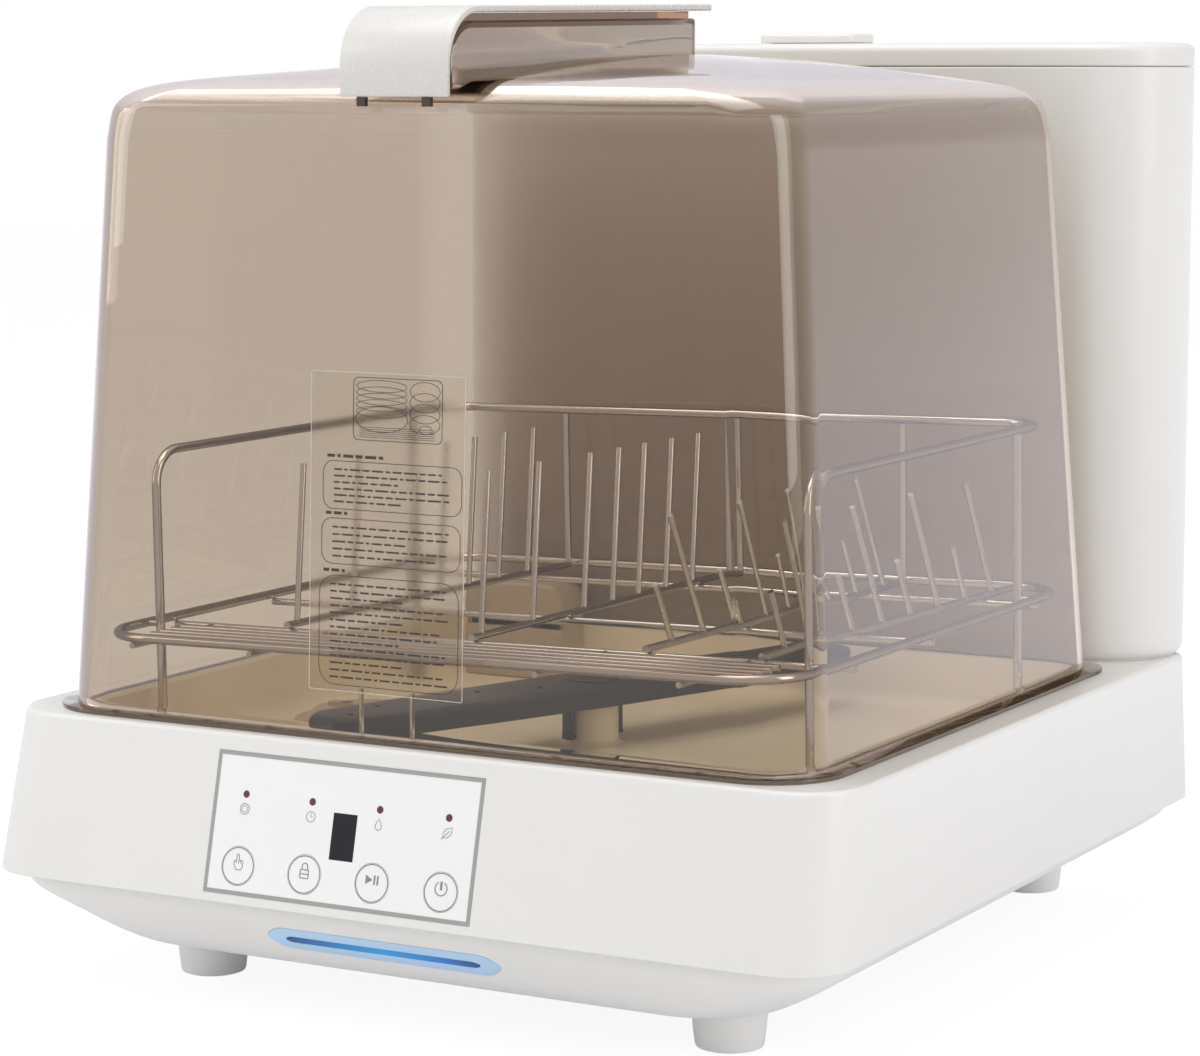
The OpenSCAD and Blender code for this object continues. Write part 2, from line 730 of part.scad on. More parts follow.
// Filter cup with a domed beige cap; it twists in the sump
module filter_cup() {
    color("#cdbfa6") translate([filter_x, filter_y, 0]) {
        difference() {
            union() {
                translate([0, 0, tub_floor_z - 34]) cylinder(r = sump_r - 1, h = 34);
                translate([0, 0, tub_floor_z + rest_gap]) cylinder(r = sump_r + 3, h = 2.2);
                translate([0, 0, tub_floor_z + 2]) cylinder(r1 = sump_r, r2 = sump_r - 6, h = 5);
                translate([0, 0, tub_floor_z - 1]) cylinder(r = sump_r - 1, h = 2);
                translate([-20, -3, tub_floor_z + 6]) cube([40, 6, 3]);
            }
            translate([0, 0, tub_floor_z - 32]) cylinder(r = sump_r - 3, h = 34);
            for (a = [0 : 30 : 330]) rotate([0, 0, a])
                translate([15, -3, tub_floor_z - 28]) cube([30, 6, 20]);
            for (a = [0 : 45 : 315]) rotate([0, 0, a])
                translate([11, 0, tub_floor_z - 40]) cylinder(r = 3, h = 60);
        }
    }
}

module sump_cup() {
    r = sump_r + sump_wall;
    color("#b9b4aa") difference() {
        translate([filter_x, filter_y, sump_bottom_z])
            cylinder(r = r, h = tub_floor_z - tub_wall - sump_bottom_z);
        translate([filter_x, filter_y, sump_bottom_z + sump_wall]) cylinder(r = sump_r, h = 60);
        y_rod(filter_x, pump_z, filter_y - 50, filter_y + 50, 7);
    }
}

// Round pump case along Y from y0, with its inlet on the sump's side
module pump_case(y0, l, r, wall, inlet_l, toward) {
    difference() {
        union() {
            y_rod(pump_x, pump_z, y0, y0 + l, r);
            y_rod(pump_x, pump_z, toward > 0 ? y0 - inlet_l : y0 + l,
                toward > 0 ? y0 : y0 + l + inlet_l, pump_port_r);
        }
        y_rod(pump_x, pump_z, y0 + wall, y0 + l - wall, r - wall);
        y_rod(pump_x, pump_z, toward > 0 ? y0 - inlet_l - 1 : y0 + l - wall - 1,
            toward > 0 ? y0 + wall + 1 : y0 + l + inlet_l + 1, 7);
        y_rod(pump_x, pump_z, y0 - 1, y0 + l + 1, shaft_r + shaft_fit);
    }
}

module wash_pump_case() {
    color("#8f9296") difference() {
        union() {
            pump_case(wash_y0, volute_l, volute_r, volute_wall, 6, 1);
            translate([pump_x + 12, wash_y0 + volute_l / 2, pump_z + 14]) rotate([0, 90, 0])
                cylinder(r = pump_port_r, h = 24);
        }
        y_rod(pump_x, pump_z, wash_y0 + volute_wall, wash_y0 + volute_l - volute_wall,
            volute_r - volute_wall);
        translate([pump_x + 12, wash_y0 + volute_l / 2, pump_z + 14]) rotate([0, 90, 0])
            cylinder(r = pump_bore_r, h = 30);
    }
}

// Bladed wheel on a shaft along Y
module impeller(y0, r, l, shaft_y0, shaft_y1, blades) {
    y_rod(pump_x, pump_z, y0, y0 + 2.5, r);
    y_rod(pump_x, pump_z, y0, y0 + l, 6);
    y_rod(pump_x, pump_z, shaft_y0, shaft_y1, shaft_r);
    translate([pump_x, y0, pump_z]) for (i = [0 : blades - 1]) rotate([0, i * 360 / blades, 0])
        translate([4, 1, -1]) cube([r - 5.5, l - 2, 2]);
}

module wash_impeller() {
    color("#dfe2e5") impeller(wash_y0 + volute_wall + 4, volute_r - volute_wall - 4, 13,
        wash_y0 + volute_wall + 4, wash_y0 + volute_l + motor_l + 4, 7);
}

module motor_can(y0, l, r) {
    difference() {
        union() {
            y_rod(pump_x, pump_z, y0, y0 + l, r);
            y_rod(pump_x, pump_z, y0 + l, y0 + l + 3, r * 0.5);
        }
        y_rod(pump_x, pump_z, y0 - 1, y0 + l + 6, shaft_r + shaft_fit);
    }
}

module wash_motor() {
    color("#5c6166") motor_can(wash_y0 + volute_l + 0.1, motor_l, motor_r);
}

module drain_pump_case() {
    y0 = drain_y1 - drain_volute_l;
    color("#8f9296") {
        difference() {
            union() {
                pump_case(y0, drain_volute_l, drain_volute_r, 2, 6, -1);
                translate([pump_x - 10, y0 + drain_volute_l / 2, port_z]) rotate([0, -90, 0])
                    cylinder(r = hose_r, h = 22);
            }
            y_rod(pump_x, pump_z, y0 + 2, y0 + drain_volute_l - 2, drain_volute_r - 2);
            translate([pump_x - 10, y0 + drain_volute_l / 2, port_z]) rotate([0, -90, 0])
                cylinder(r = outlet_bore_r, h = 30);
        }
        motor_y = y0 - drain_motor_l - 0.1;
        difference() {
            y_rod(pump_x, pump_z, motor_y, y0, 15);
            y_rod(pump_x, pump_z, motor_y - 1, y0 + 1, shaft_r + shaft_fit);
        }
    }
}

module drain_impeller() {
    y0 = drain_y1 - drain_volute_l;
    color("#dfe2e5") impeller(y0 + 4, drain_volute_r - 5, 8, y0 - drain_motor_l - 3, y0 + 12, 5);
}

// Pipe from the wash pump up into the hub
module feed_pipe() {
    start = [pump_x + 36.1, wash_y0 + volute_l / 2, pump_z + 14];
    turn = [0, tub_y, pump_z + 14];
    color("#c9cccf") difference() {
        union() {
            rod(start, start + [14, 0, 0], pump_port_r);
            rod(start + [14, 0, 0], turn, pump_port_r);
            translate(start + [14, 0, 0]) sphere(pump_port_r);
            translate(turn - [0, 0, 10]) cylinder(r = 12, h = 20);
            translate(turn) cylinder(r = pump_port_r, h = tub_floor_z - tub_wall - turn.z);
        }
        rod(start - [1, 0, 0], start + [14, 0, 0], pump_bore_r);
        rod(start + [14, 0, 0], turn, pump_bore_r);
        translate(start + [14, 0, 0]) sphere(pump_bore_r);
        translate(turn - [0, 0, 7]) cylinder(r = pump_bore_r, h = 40);
    }
}

// ---- Sweeping a tube along points ----
function mid_points(p) = [for (i = [0 : len(p) - 2]) each [p[i], (p[i] + p[i + 1]) / 2], p[len(p) - 1]];
function smoothed(p) = [for (i = [0 : len(p) - 1])
    i == 0 || i == len(p) - 1 ? p[i] : (p[i - 1] + 2 * p[i] + p[i + 1]) / 4];
function ring_at(p, i, r, n) =
    let (a = p[max(i - 1, 0)], b = p[min(i + 1, len(p) - 1)], t = (b - a) / norm(b - a),
        ref = abs(t.z) > 0.9 ? [1, 0, 0] : [0, 0, 1],
        u = cross(ref, t) / norm(cross(ref, t)), v = cross(t, u))
    [for (k = [0 : n - 1]) p[i] + r * (cos(360 * k / n) * u + sin(360 * k / n) * v)];

module tube(p, r, n) {
    m = len(p);
    polyhedron(
        points = [for (i = [0 : m - 1]) each ring_at(p, i, r, n)],
        faces = [
            [for (k = [0 : n - 1]) k],
            for (i = [0 : m - 2], k = [0 : n - 1])
                [i * n + k, (i + 1) * n + k, (i + 1) * n + (k + 1) % n, i * n + (k + 1) % n],
            [for (k = [n - 1 : -1 : 0]) (m - 1) * n + k]
        ]);
}

module drain_hose() {
    color("#9b9da0") tube(smoothed(mid_points(smoothed(mid_points(hose_points)))), hose_r, 12);
}

module drain_outlet() {
    y0 = skirt_rear - outlet_pocket_d - 5;
    color("#d7d6d3") difference() {
        union() {
            y_rod(outlet_x, outlet_z, y0 - 3, y0, outlet_root_r + 3.5);
            y_rod(outlet_x, outlet_z, y0 - 14, skirt_rear - 2 - outlet_free_l, outlet_root_r);
            y_rod(outlet_x, outlet_z, y0, skirt_rear - 2, outlet_r);
        }
        y_rod(outlet_x, outlet_z, y0 - 10, skirt_rear, outlet_bore_r);
    }
}

module heater_plate() {
    z1 = tub_floor_z - tub_wall;
    color("#a9abad") difference() {
        translate([0, tub_y, z1 - heater_t]) cylinder(r = heater_r, h = heater_t);
        translate([0, tub_y, z1 - heater_t - 1]) cylinder(r = heater_bore_r, h = heater_t + 2);
    }
}

module power_board() {
    z0 = belly_z + 22;
    color("#2f6b4a") {
        translate([power_x, power_y, z0]) cube([power_w, power_d, board_t]);
        translate([power_x + 10, power_y + 8, z0 + board_t]) cube([26, 24, 20]);
        translate([power_x + 46, power_y + 10, z0 + board_t]) cube([14, 14, 16]);
        for (x = [70, 84, 98]) translate([power_x + x, power_y + 20, z0 + board_t]) cylinder(r = 6, h = 18);
    }
}

// Bush for the mains lead in the belly's rear wall
module mains_gland() {
    color("#d7d6d3") difference() {
        union() {
            y_rod(gland_x, gland_z, skirt_rear - 3.2, skirt_rear, gland_r + 3);
            y_rod(gland_x, gland_z, skirt_rear - 14, skirt_rear - 3.2, gland_r);
            y_rod(gland_x, gland_z, skirt_rear - 12, skirt_rear - 6.3, gland_r + 2);
        }
        y_rod(gland_x, gland_z, skirt_rear - 20, skirt_rear + 1, gland_bore_r);
    }
}

// Reed sensor under the front deck that notices the hood
module lid_sensor() {
    color("#3a3d42") translate([-26, skirt_front + front_lean + 8.5, deck_z - deck_t - 6]) cube([26, 6, 6]);
}

// ---- Control panel ----

function key_x(i) = 0.5 + key_pitch * (i - 1.5);

module panel_overlay() {
    w = panel_w - 2 * border_w;
    h = panel_h - 2 * border_w;
    color("#f7f7f6") on_panel() difference() {
        translate([-w / 2, 0, -h / 2]) cube([w, overlay_t, h]);
        for (i = [0 : 3]) {
            translate([key_x(i), -1, key_row]) rotate([-90, 0, 0]) cylinder(r = key_r + key_gap, h = 4);
            translate([key_x(i), -1, lamp_row]) rotate([-90, 0, 0]) cylinder(r = lamp_r + 0.05, h = 4);
        }
        translate([-display_w / 2 + 0.8, -1, -display_h / 2 - 0.6]) cube([display_w, 4, display_h]);
    }
}

module panel_border() {
    color("#9a9a96") on_panel() difference() {
        translate([-panel_w / 2, -0.1, -panel_h / 2]) cube([panel_w, overlay_t + 0.1, panel_h]);
        translate([-panel_w / 2 + border_w, -1, -panel_h / 2 + border_w])
            cube([panel_w - 2 * border_w, 4, panel_h - 2 * border_w]);
    }
}

module display_window() {
    color("#141414") on_panel() translate([-display_w / 2 + 0.85, 0, -display_h / 2 - 0.55])
        cube([display_w - 0.1, board_y, display_h - 0.1]);
}

module mode_lamps() {
    color("#6b4a44") on_panel() for (i = [0 : 3])
        translate([key_x(i), 0, lamp_row]) rotate([-90, 0, 0]) cylinder(r = lamp_r, h = board_y);
}

module control_board() {
    color("#2f6b4a") on_panel() {
        difference() {
            translate([-board_post_x - 3, board_y, -board_h / 2])
                cube([2 * board_post_x + 6, board_t, board_h]);
            for (x = [-board_post_x, board_post_x], z = [-board_post_z, board_post_z])
                translate([x, board_y - 1, z]) rotate([-90, 0, 0]) cylinder(r = 1.2, h = 4);
        }
        // Dome switches behind the keys
        for (i = [0 : 3]) translate([key_x(i), 0, key_row]) {
            translate([-3, switch_y, -3]) cube([6, board_y - switch_y, 6]);
        }
    }
}

module key_pad(i) {
    color("#f7f7f6") on_panel() translate([key_x(i), 0, key_row]) rotate([-90, 0, 0]) {
        cylinder(r = key_r, h = key_t);
        translate([0, 0, overlay_t + 0.1]) cylinder(r = key_r + key_gap + 0.6, h = key_t - overlay_t - 0.1);
        translate([0, 0, key_t]) cylinder(r = 2, h = switch_y - key_t - key_travel - 0.1);
    }
}

// ---- Light strip ----

module light_pad() {
    color("#b9dcf5") on_light() difference() {
        translate([-light_w / 2, 0, -light_h / 2]) cube([light_w, light_t, light_h]);
        translate([-bar_w / 2 - 0.05, -1, -bar_h / 2 - 0.05]) cube([bar_w + 0.1, light_t + 2, bar_h + 0.1]);
    }
}

module light_bar() {
    color("#1f74c9") on_light() translate([-bar_w / 2, 0.4, -bar_h / 2]) cube([bar_w, light_t, bar_h]);
}

module light_board() {
    color("#e8e8e8") on_light() translate([-light_w / 2 + 2, light_t + 0.5, -light_h / 2 + 1])
        cube([light_w - 4, board_t, light_h - 2]);
}

// ---- Spray arm ----

module arm_plan(grow) {
    w = arm_w / 2 + grow;
    l = arm_l / 2 + grow;
    tip = w * 0.72;
    polygon([[-l + tip * 0.6, -tip], [0, -w], [l - tip * 0.6, -tip], [l, -tip * 0.35], [l, tip * 0.35],
        [l - tip * 0.6, tip], [0, w], [-l + tip * 0.6, tip], [-l, tip * 0.35], [-l, -tip * 0.35]]);
}

module spray_arm() {
    color("#6f7276") translate([0, tub_y, 0]) rotate([0, 0, arm_yaw]) difference() {
        union() {
            difference() {
                translate([0, 0, arm_z]) linear_extrude(arm_h) arm_plan(0);
                translate([0, 0, arm_z + arm_wall]) linear_extrude(arm_h - 2 * arm_wall)
                    arm_plan(-arm_wall);
            }
            translate([0, 0, arm_z]) cylinder(r = arm_boss_r, h = arm_h);
            for (s = [-1, 1])
                translate([s * (snap_leg_r + 0.5) - snap_leg_t / 2, -snap_leg_w / 2, tub_floor_z + 2])
                    cube([snap_leg_t, snap_leg_w, arm_z - tub_floor_z - 1]);
        }
        translate([0, 0, arm_z - 1]) cylinder(r = post_r + arm_fit, h = post_top_z - arm_z + 1.5);
        for (s = [-1, 1], i = [0 : len(nozzle_xs) - 1])
            translate([s * nozzle_xs[i], (i % 2 == 0 ? nozzle_side : -nozzle_side) * s, arm_z + arm_h - 3])
                cylinder(r = nozzle_r, h = 5);
        // Ports from the bore into the hollow blade
        for (s = [-1, 1]) translate([s > 0 ? 4 : -14, -2.5, arm_z + 2.4]) cube([10, 5, arm_h - 5]);
    }
}

module spray_bearing() {
    color("#e9e9e9") translate([0, tub_y, hub_top_z]) difference() {
        cylinder(r = hub_r - 1, h = arm_z - hub_top_z - 0.1);
        translate([0, 0, -1]) cylinder(r = post_r + 0.02, h = 5);
    }
}

// ---- Hood ----

module hood_row(row, grow, drop) {
    z = row[0] - drop;
    prism(z, z + hood_slice_t, -hood_w / 2 + row[1] - grow, hood_w / 2 - row[1] + grow,
        hood_front + row[2] - grow, hood_rear - row[3] + grow,
        max(row[4] + grow, 2), max(row[4] + grow, 2), $fn = 32);
}

// The hood's outer form, or with its wall taken off its inner form
module hood_form(wall) {
    hull() for (row = hood_rows) hood_row(row, -wall, row[0] > wall_foot_z ? wall : wall * 2);
}

// Side outline of the handle from the front over the bend to the rear, in (y, z),
// lying below the cap's outer face by drop
function cap_line(y) = cap_z + (y - cap_bend_y) * tan(cap_rise);
function cap_outline(drop, rear) = [
    [cap_front + drop, cap_bottom_z],
    for (a = [180 : -9 : 90])
        [cap_bend_y + (cap_bend_r - drop) * cos(a), cap_z - cap_bend_r + (cap_bend_r - drop) * sin(a)],
    [rear, cap_line(rear) - drop]
];
function reversed(p) = [for (i = [len(p) - 1 : -1 : 0]) p[i]];

// Extrudes a (y, z) outline to width w about the handle's middle
module handle_slab(w, outline) {
    translate([-handle_left - w / 2, 0, 0]) rotate([90, 0, 90]) linear_extrude(w) polygon(outline);
}

module hood_shell() {
    color("#8c7a66", 0.45) {
        difference() {
            union() {
                hood_form(0);
                prism(flange_z, wall_foot_z, -hood_w / 2 - flange_out, hood_w / 2 + flange_out,
                    hood_front - flange_out, hood_rear + flange_out - 1,
                    hood_corner_r + flange_out, hood_corner_r + flange_out - 8);
                handle_slab(grip_w, concat(cap_outline(cap_t + 0.2 + grip_drop * 0.8, grip_rear),
                    [[grip_rear, shoulder_z + 10], [cap_front + 10, shoulder_z + 10]]));
                handle_slab(grip_w - 5, concat(cap_outline(cap_t + 0.2, grip_rear - 3),
                    [[grip_rear - 3, shoulder_z + 10], [cap_front + 10, shoulder_z + 10]]));
            }
            hood_form(hood_wall);
            handle_slab(grip_w - 2 * grip_wall,
                concat(cap_outline(cap_t + grip_drop + grip_wall, grip_rear - grip_wall),
                    [[grip_rear - grip_wall, shoulder_z], [cap_front + 14, shoulder_z]]));
        }
        for (x = rib_xs) translate([x - rib_w / 2, hood_front + hood_wall - 0.2, tub_top_z + 1])
            cube([rib_w, 2.2, rib_h]);
    }
}

module handle_cap() {
    color("#f3f2f1") handle_slab(cap_w,
        concat(cap_outline(0, cap_rear), reversed(cap_outline(cap_t, cap_rear))));
}

// Two dark snap tabs under the front edge of the cap
module handle_clips() {
    color("#4a4038") for (x = [-handle_left - 16, -handle_left + 16])
        translate([x - 2, cap_front + 0.2, cap_bottom_z - 4]) cube([4, cap_t - 0.4, 3.9]);
}

module info_film() {
    lean = atan(hood_rows[1][2] / (shoulder_z - wall_foot_z));
    color("#e8e4dc", 0.5) translate([film_x, hood_front - film_t - 0.06, wall_foot_z])
        rotate([-lean, 0, 0]) translate([0, 0, film_z0 - wall_foot_z])
            cube([film_w, film_t, film_z1 - film_z0]);
}

// ---- Rack ----

// Places its children in the rack's own frame, whose XY plane is the ring's plane
module on_rack() {
    translate([0, rack_y, rack_z]) rotate([rack_pitch, -rack_roll, 0]) children();
}

module wire(p, q, d) {
    rod(p, q, d / 2, $fn = 16);
}

module rack_ring() {
    x = rack_w / 2 - frame_d / 2;
    y = rack_d / 2 - frame_d / 2;
    color("#c9c6c0") on_rack() {
        for (s = [-1, 1]) {
            wire([s * x, -y + ring_r, 0], [s * x, y - ring_r, 0], frame_d);
            wire([-x + ring_r, s * y, 0], [x - ring_r, s * y, 0], frame_d);
        }
        for (c = [[1, 1, 0], [-1, 1, 90], [-1, -1, 180], [1, -1, 270]])
            translate([c[0] * (x - ring_r), c[1] * (y - ring_r), 0]) bend(ring_r, frame_d / 2, c[2]);
    }
}

// Height above the ring plane of the boots' seat in the tub, at a leg
function leg_foot(x, y) = tub_floor_z + rest_gap + boot_floor + 0.2
    - (rack_z + x * sin(rack_roll) + y * sin(rack_pitch));

module rack_rail() {
    z = rail_rise;
    rear = rail_rear_y - frame_d / 2;
    color("#c9c6c0") on_rack() {
        for (s = [-1, 1]) {
            wire([s * rail_x, rail_front_y + rail_bend_r, z], [s * rail_x, rear - rail_r, z], frame_d);
            translate([s * rail_x, rail_front_y + rail_bend_r, z - rail_bend_r])
                rotate([0, -90, 0]) rotate([0, 0, -90])
                bend(rail_bend_r, frame_d / 2, 0);
            wire([s * rail_x, rail_front_y, leg_foot(s * rail_x, rail_front_y)],
                [s * rail_x, rail_front_y, z - rail_bend_r], frame_d);
            wire([s * (rail_x - rear_leg_in), rear_leg_y, leg_foot(s * rail_x, rear_leg_y)],
                [s * (rail_x - rear_leg_in), rear_leg_y, z], frame_d);
            // Stubs that tie the legs to the ring
            for (y = [rail_front_y, rear_leg_y])
                wire([s * rail_x, y, 0], [s * (rack_w / 2 - frame_d - weld_gap), y, 0], wire_d);
        }
        wire([-rail_x + rail_r, rear, z], [rail_x - rail_r, rear, z], frame_d);
        translate([rail_x - rail_r, rear - rail_r, z]) bend(rail_r, frame_d / 2, 0);
        translate([-rail_x + rail_r, rear - rail_r, z]) bend(rail_r, frame_d / 2, 90);
    }
}

module rack_boots() {
    legs = [[rail_x, rail_front_y], [rail_x - rear_leg_in, rear_leg_y]];
    color("#b7ada0") on_rack() for (s = [-1, 1], leg = legs)
        translate([s * leg[0], leg[1], leg_foot(s * rail_x, leg[1]) - boot_floor]) difference() {
            cylinder(r = frame_d / 2 + boot_wall, h = boot_h);
            translate([0, 0, boot_floor]) cylinder(r = frame_d / 2 + 0.02, h = boot_h);
        }
}

// Wires close together along the ring's front edge, on short stays
module front_wires() {
    y = -rack_d / 2 + frame_d / 2;
    stay_end = cross_ys[0] - (cross_d + wire_d) / 2;
    color("#c9c6c0") on_rack() {
        for (i = [1 : front_wire_count])
            wire([-front_wire_end, y + i * front_wire_pitch, front_wire_z],
                [front_wire_end, y + i * front_wire_pitch, front_wire_z], wire_d);
        for (x = front_stays_x) wire([x, y, stay_z], [x, stay_end, stay_z], wire_d);
    }
}

module cross_wires() {
    x = rack_w / 2 - frame_d / 2;
    color("#c9c6c0") on_rack() for (y = cross_ys) wire([-x, y, cross_z], [x, y, cross_z], cross_d);
}

// Bar from the front to the rear that a row of tines is welded to; a row under the
// rail's straight rear run ends in an upright to the rail
module tine_bar(xs, upright) {
    rear = [xs[1], bar_rear_y, bar_z];
    wire([xs[0], bar_front_y - 4, bar_z], rear, bar_d);
    if (upright) {
        translate(rear) sphere(bar_d / 2 + weld_gap, $fn = 24);
        wire(rear, [xs[1], bar_rear_y, rail_rise - frame_d / 2 - weld_gap], bar_d);
    }
}

// Foot of a tine at y on a bar
function tine_foot(xs, y) =
    [xs[0] + (xs[1] - xs[0]) * (y - bar_front_y) / (bar_rear_y - bar_front_y), y, bar_z];

module plate_row(xs) {
    color("#c9c6c0") on_rack() {
        tine_bar(xs, true);
        for (step = plate_steps) {
            foot = tine_foot(xs, plate_first_y + step);
            wire(foot, foot + plate_tine_l * [0, sin(plate_tine_lean), cos(plate_tine_lean)], wire_d);
        }
    }
}

module bowl_row(xs, upright) {
    color("#c9c6c0") on_rack() {
        tine_bar(xs, upright);
        for (i = [0 : bowl_count - 1]) {
            foot = tine_foot(xs, bowl_first_y + i * bowl_pitch);
            l = i % 2 == 0 ? bowl_tine_s : bowl_tine_l;
            wire(foot, foot + l * [0, -sin(bowl_tine_lean), cos(bowl_tine_lean)], wire_d);
        }
    }
}

// ---- Tank ----

module tank_coupler() {
    z1 = recess_floor_z;
    z0 = barrel_bottom_z - 5;
    color("#cfcac0") translate([tank_right, tank_y, 0]) {
        difference() {
            union() {
                translate([0, 0, z0]) cylinder(r = socket_r + socket_wall, h = z1 - z0);
                translate([0, 0, z1 - recess_wall - 2.5]) cylinder(r = socket_r + socket_wall + 4, h = 2.5);
            }
            translate([0, 0, z0 + 3]) cylinder(r = socket_r, h = z1 - z0);
            for (a = [0 : 120 : 240]) rotate([0, 0, a]) translate([6, 0, z0 - 1]) cylinder(r = 2, h = 6);
        }
        translate([0, 0, z0 + 2]) cylinder(r = 1.5, h = poppet_z - valve_lift - z0 - 2.4 + 0.2);
    }
}

module tank_body() {
    color("#f1f0ee") difference() {
        union() {
            translate([0, 0, tank_foot_z]) linear_extrude(tank_shoulder_z - tank_foot_z + 1)
                tank_plan(tank_foot_in);
            hull() {
                translate([0, 0, tank_shoulder_z]) linear_extrude(eps) tank_plan(tank_foot_in, $fn = 32);
                translate([0, 0, tank_full_z - 3]) linear_extrude(eps) tank_plan(0.8, $fn = 32);
                translate([0, 0, tank_full_z]) linear_extrude(eps) tank_plan(0, $fn = 32);
            }
            translate([0, 0, tank_full_z]) linear_extrude(tank_seam_z - tank_full_z) tank_plan(0);
        }
        translate([0, 0, tank_foot_z + tank_wall]) linear_extrude(tank_seam_z)
            tank_plan(tank_foot_in + tank_wall);
        translate([0, 0, tank_full_z]) linear_extrude(tank_seam_z) tank_plan(tank_wall);
        translate([tank_right, tank_y, tank_foot_z - 1]) cylinder(r = barrel_r + 0.02, h = 10);
    }
}

module tank_cover() {
    z1 = tank_seam_z + cover_h;
    color("#f3f2f1") difference() {
        union() {
            hull() {
                translate([0, 0, tank_seam_z + 0.3]) linear_extrude(eps) tank_plan(0, $fn = 40);
                translate([0, 0, z1 - 3.5]) linear_extrude(eps) tank_plan(0, $fn = 40);
                translate([0, 0, z1 - 1.2]) linear_extrude(eps) tank_plan(1.1, $fn = 40);
                translate([0, 0, z1 - eps]) linear_extrude(eps) tank_plan(3.6, $fn = 40);
            }
            translate([0, 0, tank_seam_z - 6]) linear_extrude(8) tank_plan(tank_wall + 0.2);
        }
        translate([0, 0, tank_seam_z - 8]) linear_extrude(cover_h + 5) tank_plan(tank_wall + 3);
        translate([filler_x - filler_w / 2 + filler_flange,
            filler_y - filler_d / 2 + filler_flange, tank_seam_z])
            cube([filler_w - 2 * filler_flange, filler_d - 2 * filler_flange, 40]);
    }
}

module filler_cap() {
    z1 = tank_seam_z + cover_h;
    x0 = filler_x - filler_w / 2;
    y0 = filler_y - filler_d / 2;
    plug = filler_flange + 0.4;
    hollow = plug + 2;
    color("#f1f0ee") difference() {
        union() {
            prism(z1 + rest_gap, z1 + 5, x0, x0 + filler_w, y0, y0 + filler_d, 5, 5);
            prism(z1 - 5, z1 + 1, x0 + plug, x0 + filler_w - plug, y0 + plug, y0 + filler_d - plug, 2, 2);
        }
        prism(z1 - 6, z1 + 2.6, x0 + hollow, x0 + filler_w - hollow,
            y0 + hollow, y0 + filler_d - hollow, 1, 1);
    }
}

module tank_valve() {
    color("#d7d6d3") translate([tank_right, tank_y, 0]) difference() {
        union() {
            translate([0, 0, barrel_bottom_z])
                cylinder(r = barrel_r, h = spider_z + spider_t - barrel_bottom_z);
            translate([0, 0, tank_foot_z + tank_wall]) cylinder(r = barrel_r + 4, h = 2.5);
        }
        translate([0, 0, seat_z]) cylinder(r = chamber_r, h = spider_z - seat_z);
        translate([0, 0, barrel_bottom_z - 1]) cylinder(r = seat_r, h = 10);
        translate([0, 0, spider_z - 1]) cylinder(r = stem_r + stem_fit, h = spider_t + 2);
        for (a = [0 : 90 : 270]) rotate([0, 0, a]) translate([6, 0, spider_z - 1])
            cylinder(r = 2, h = spider_t + 2);
    }
}

module valve_poppet() {
    color("#e08a3c") translate([tank_right, tank_y, 0]) {
        translate([0, 0, poppet_z]) cylinder(r = poppet_r, h = poppet_t);
        translate([0, 0, poppet_z - valve_lift + 0.1])
            cylinder(r = stem_r, h = spider_z + spider_t - poppet_z + valve_lift + 2);
    }
}

module valve_spring() {
    turns = 3;
    coil_r = 4.4;
    z0 = poppet_z + poppet_t + 0.65;
    rise = spider_z - z0 - 0.65;
    color("silver") translate([tank_right, tank_y, 0])
        tube([for (i = [0 : turns * 12])
            [coil_r * cos(i * 30), coil_r * sin(i * 30), z0 + rise * i / (turns * 12)]], 0.5, 8);
}

module valve_seal() {
    color("#2b2b2b") translate([tank_right, tank_y, barrel_bottom_z + 6])
        rotate_extrude() translate([barrel_r + 0.95, 0]) circle(0.92, $fn = 24);
}

base_shell();
belly_tray();
foot(-foot_x, -front_foot_y);  // foot_front_left
foot(foot_x, -front_foot_y);  // foot_front_right
foot(-foot_x, rear_foot_y);  // foot_rear_left
foot(foot_x, rear_foot_y);  // foot_rear_right
foot_screws();
case_screws();
wash_tub();
inlet_tower();
filter_cup();
sump_cup();
wash_pump_case();
wash_impeller();
wash_motor();
drain_pump_case();
drain_impeller();
feed_pipe();
drain_hose();
drain_outlet();
heater_plate();
power_board();
mains_gland();
lid_sensor();
panel_overlay();
panel_border();
display_window();
mode_lamps();
control_board();
key_pad(0);  // key_select
key_pad(1);  // key_lock
key_pad(2);  // key_start
key_pad(3);  // key_power
light_pad();
light_bar();
light_board();
tank_coupler();
spray_arm();
spray_bearing();
hood_shell();
handle_cap();
handle_clips();
info_film();
rack_ring();
rack_rail();
rack_boots();
front_wires();
cross_wires();
plate_row(plate_rows_x[0]);  // plate_row_left
plate_row(plate_rows_x[1]);  // plate_row_middle
bowl_row(bowl_rows_x[0], true);  // bowl_row_middle
bowl_row(bowl_rows_x[1], false);  // bowl_row_right
tank_body();
tank_cover();
filler_cap();
tank_valve();
valve_poppet();
valve_spring();
valve_seal();
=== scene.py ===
"""Looks of a countertop dishwasher: white moulded casing, smoke-clear hood, wire rack and rear tank."""

import json
import logging
import math
from collections.abc import Iterable, Sequence
from dataclasses import astuple, dataclass, field
from enum import Enum
from functools import cached_property

import bmesh
import bpy
from mathutils import Matrix, Vector


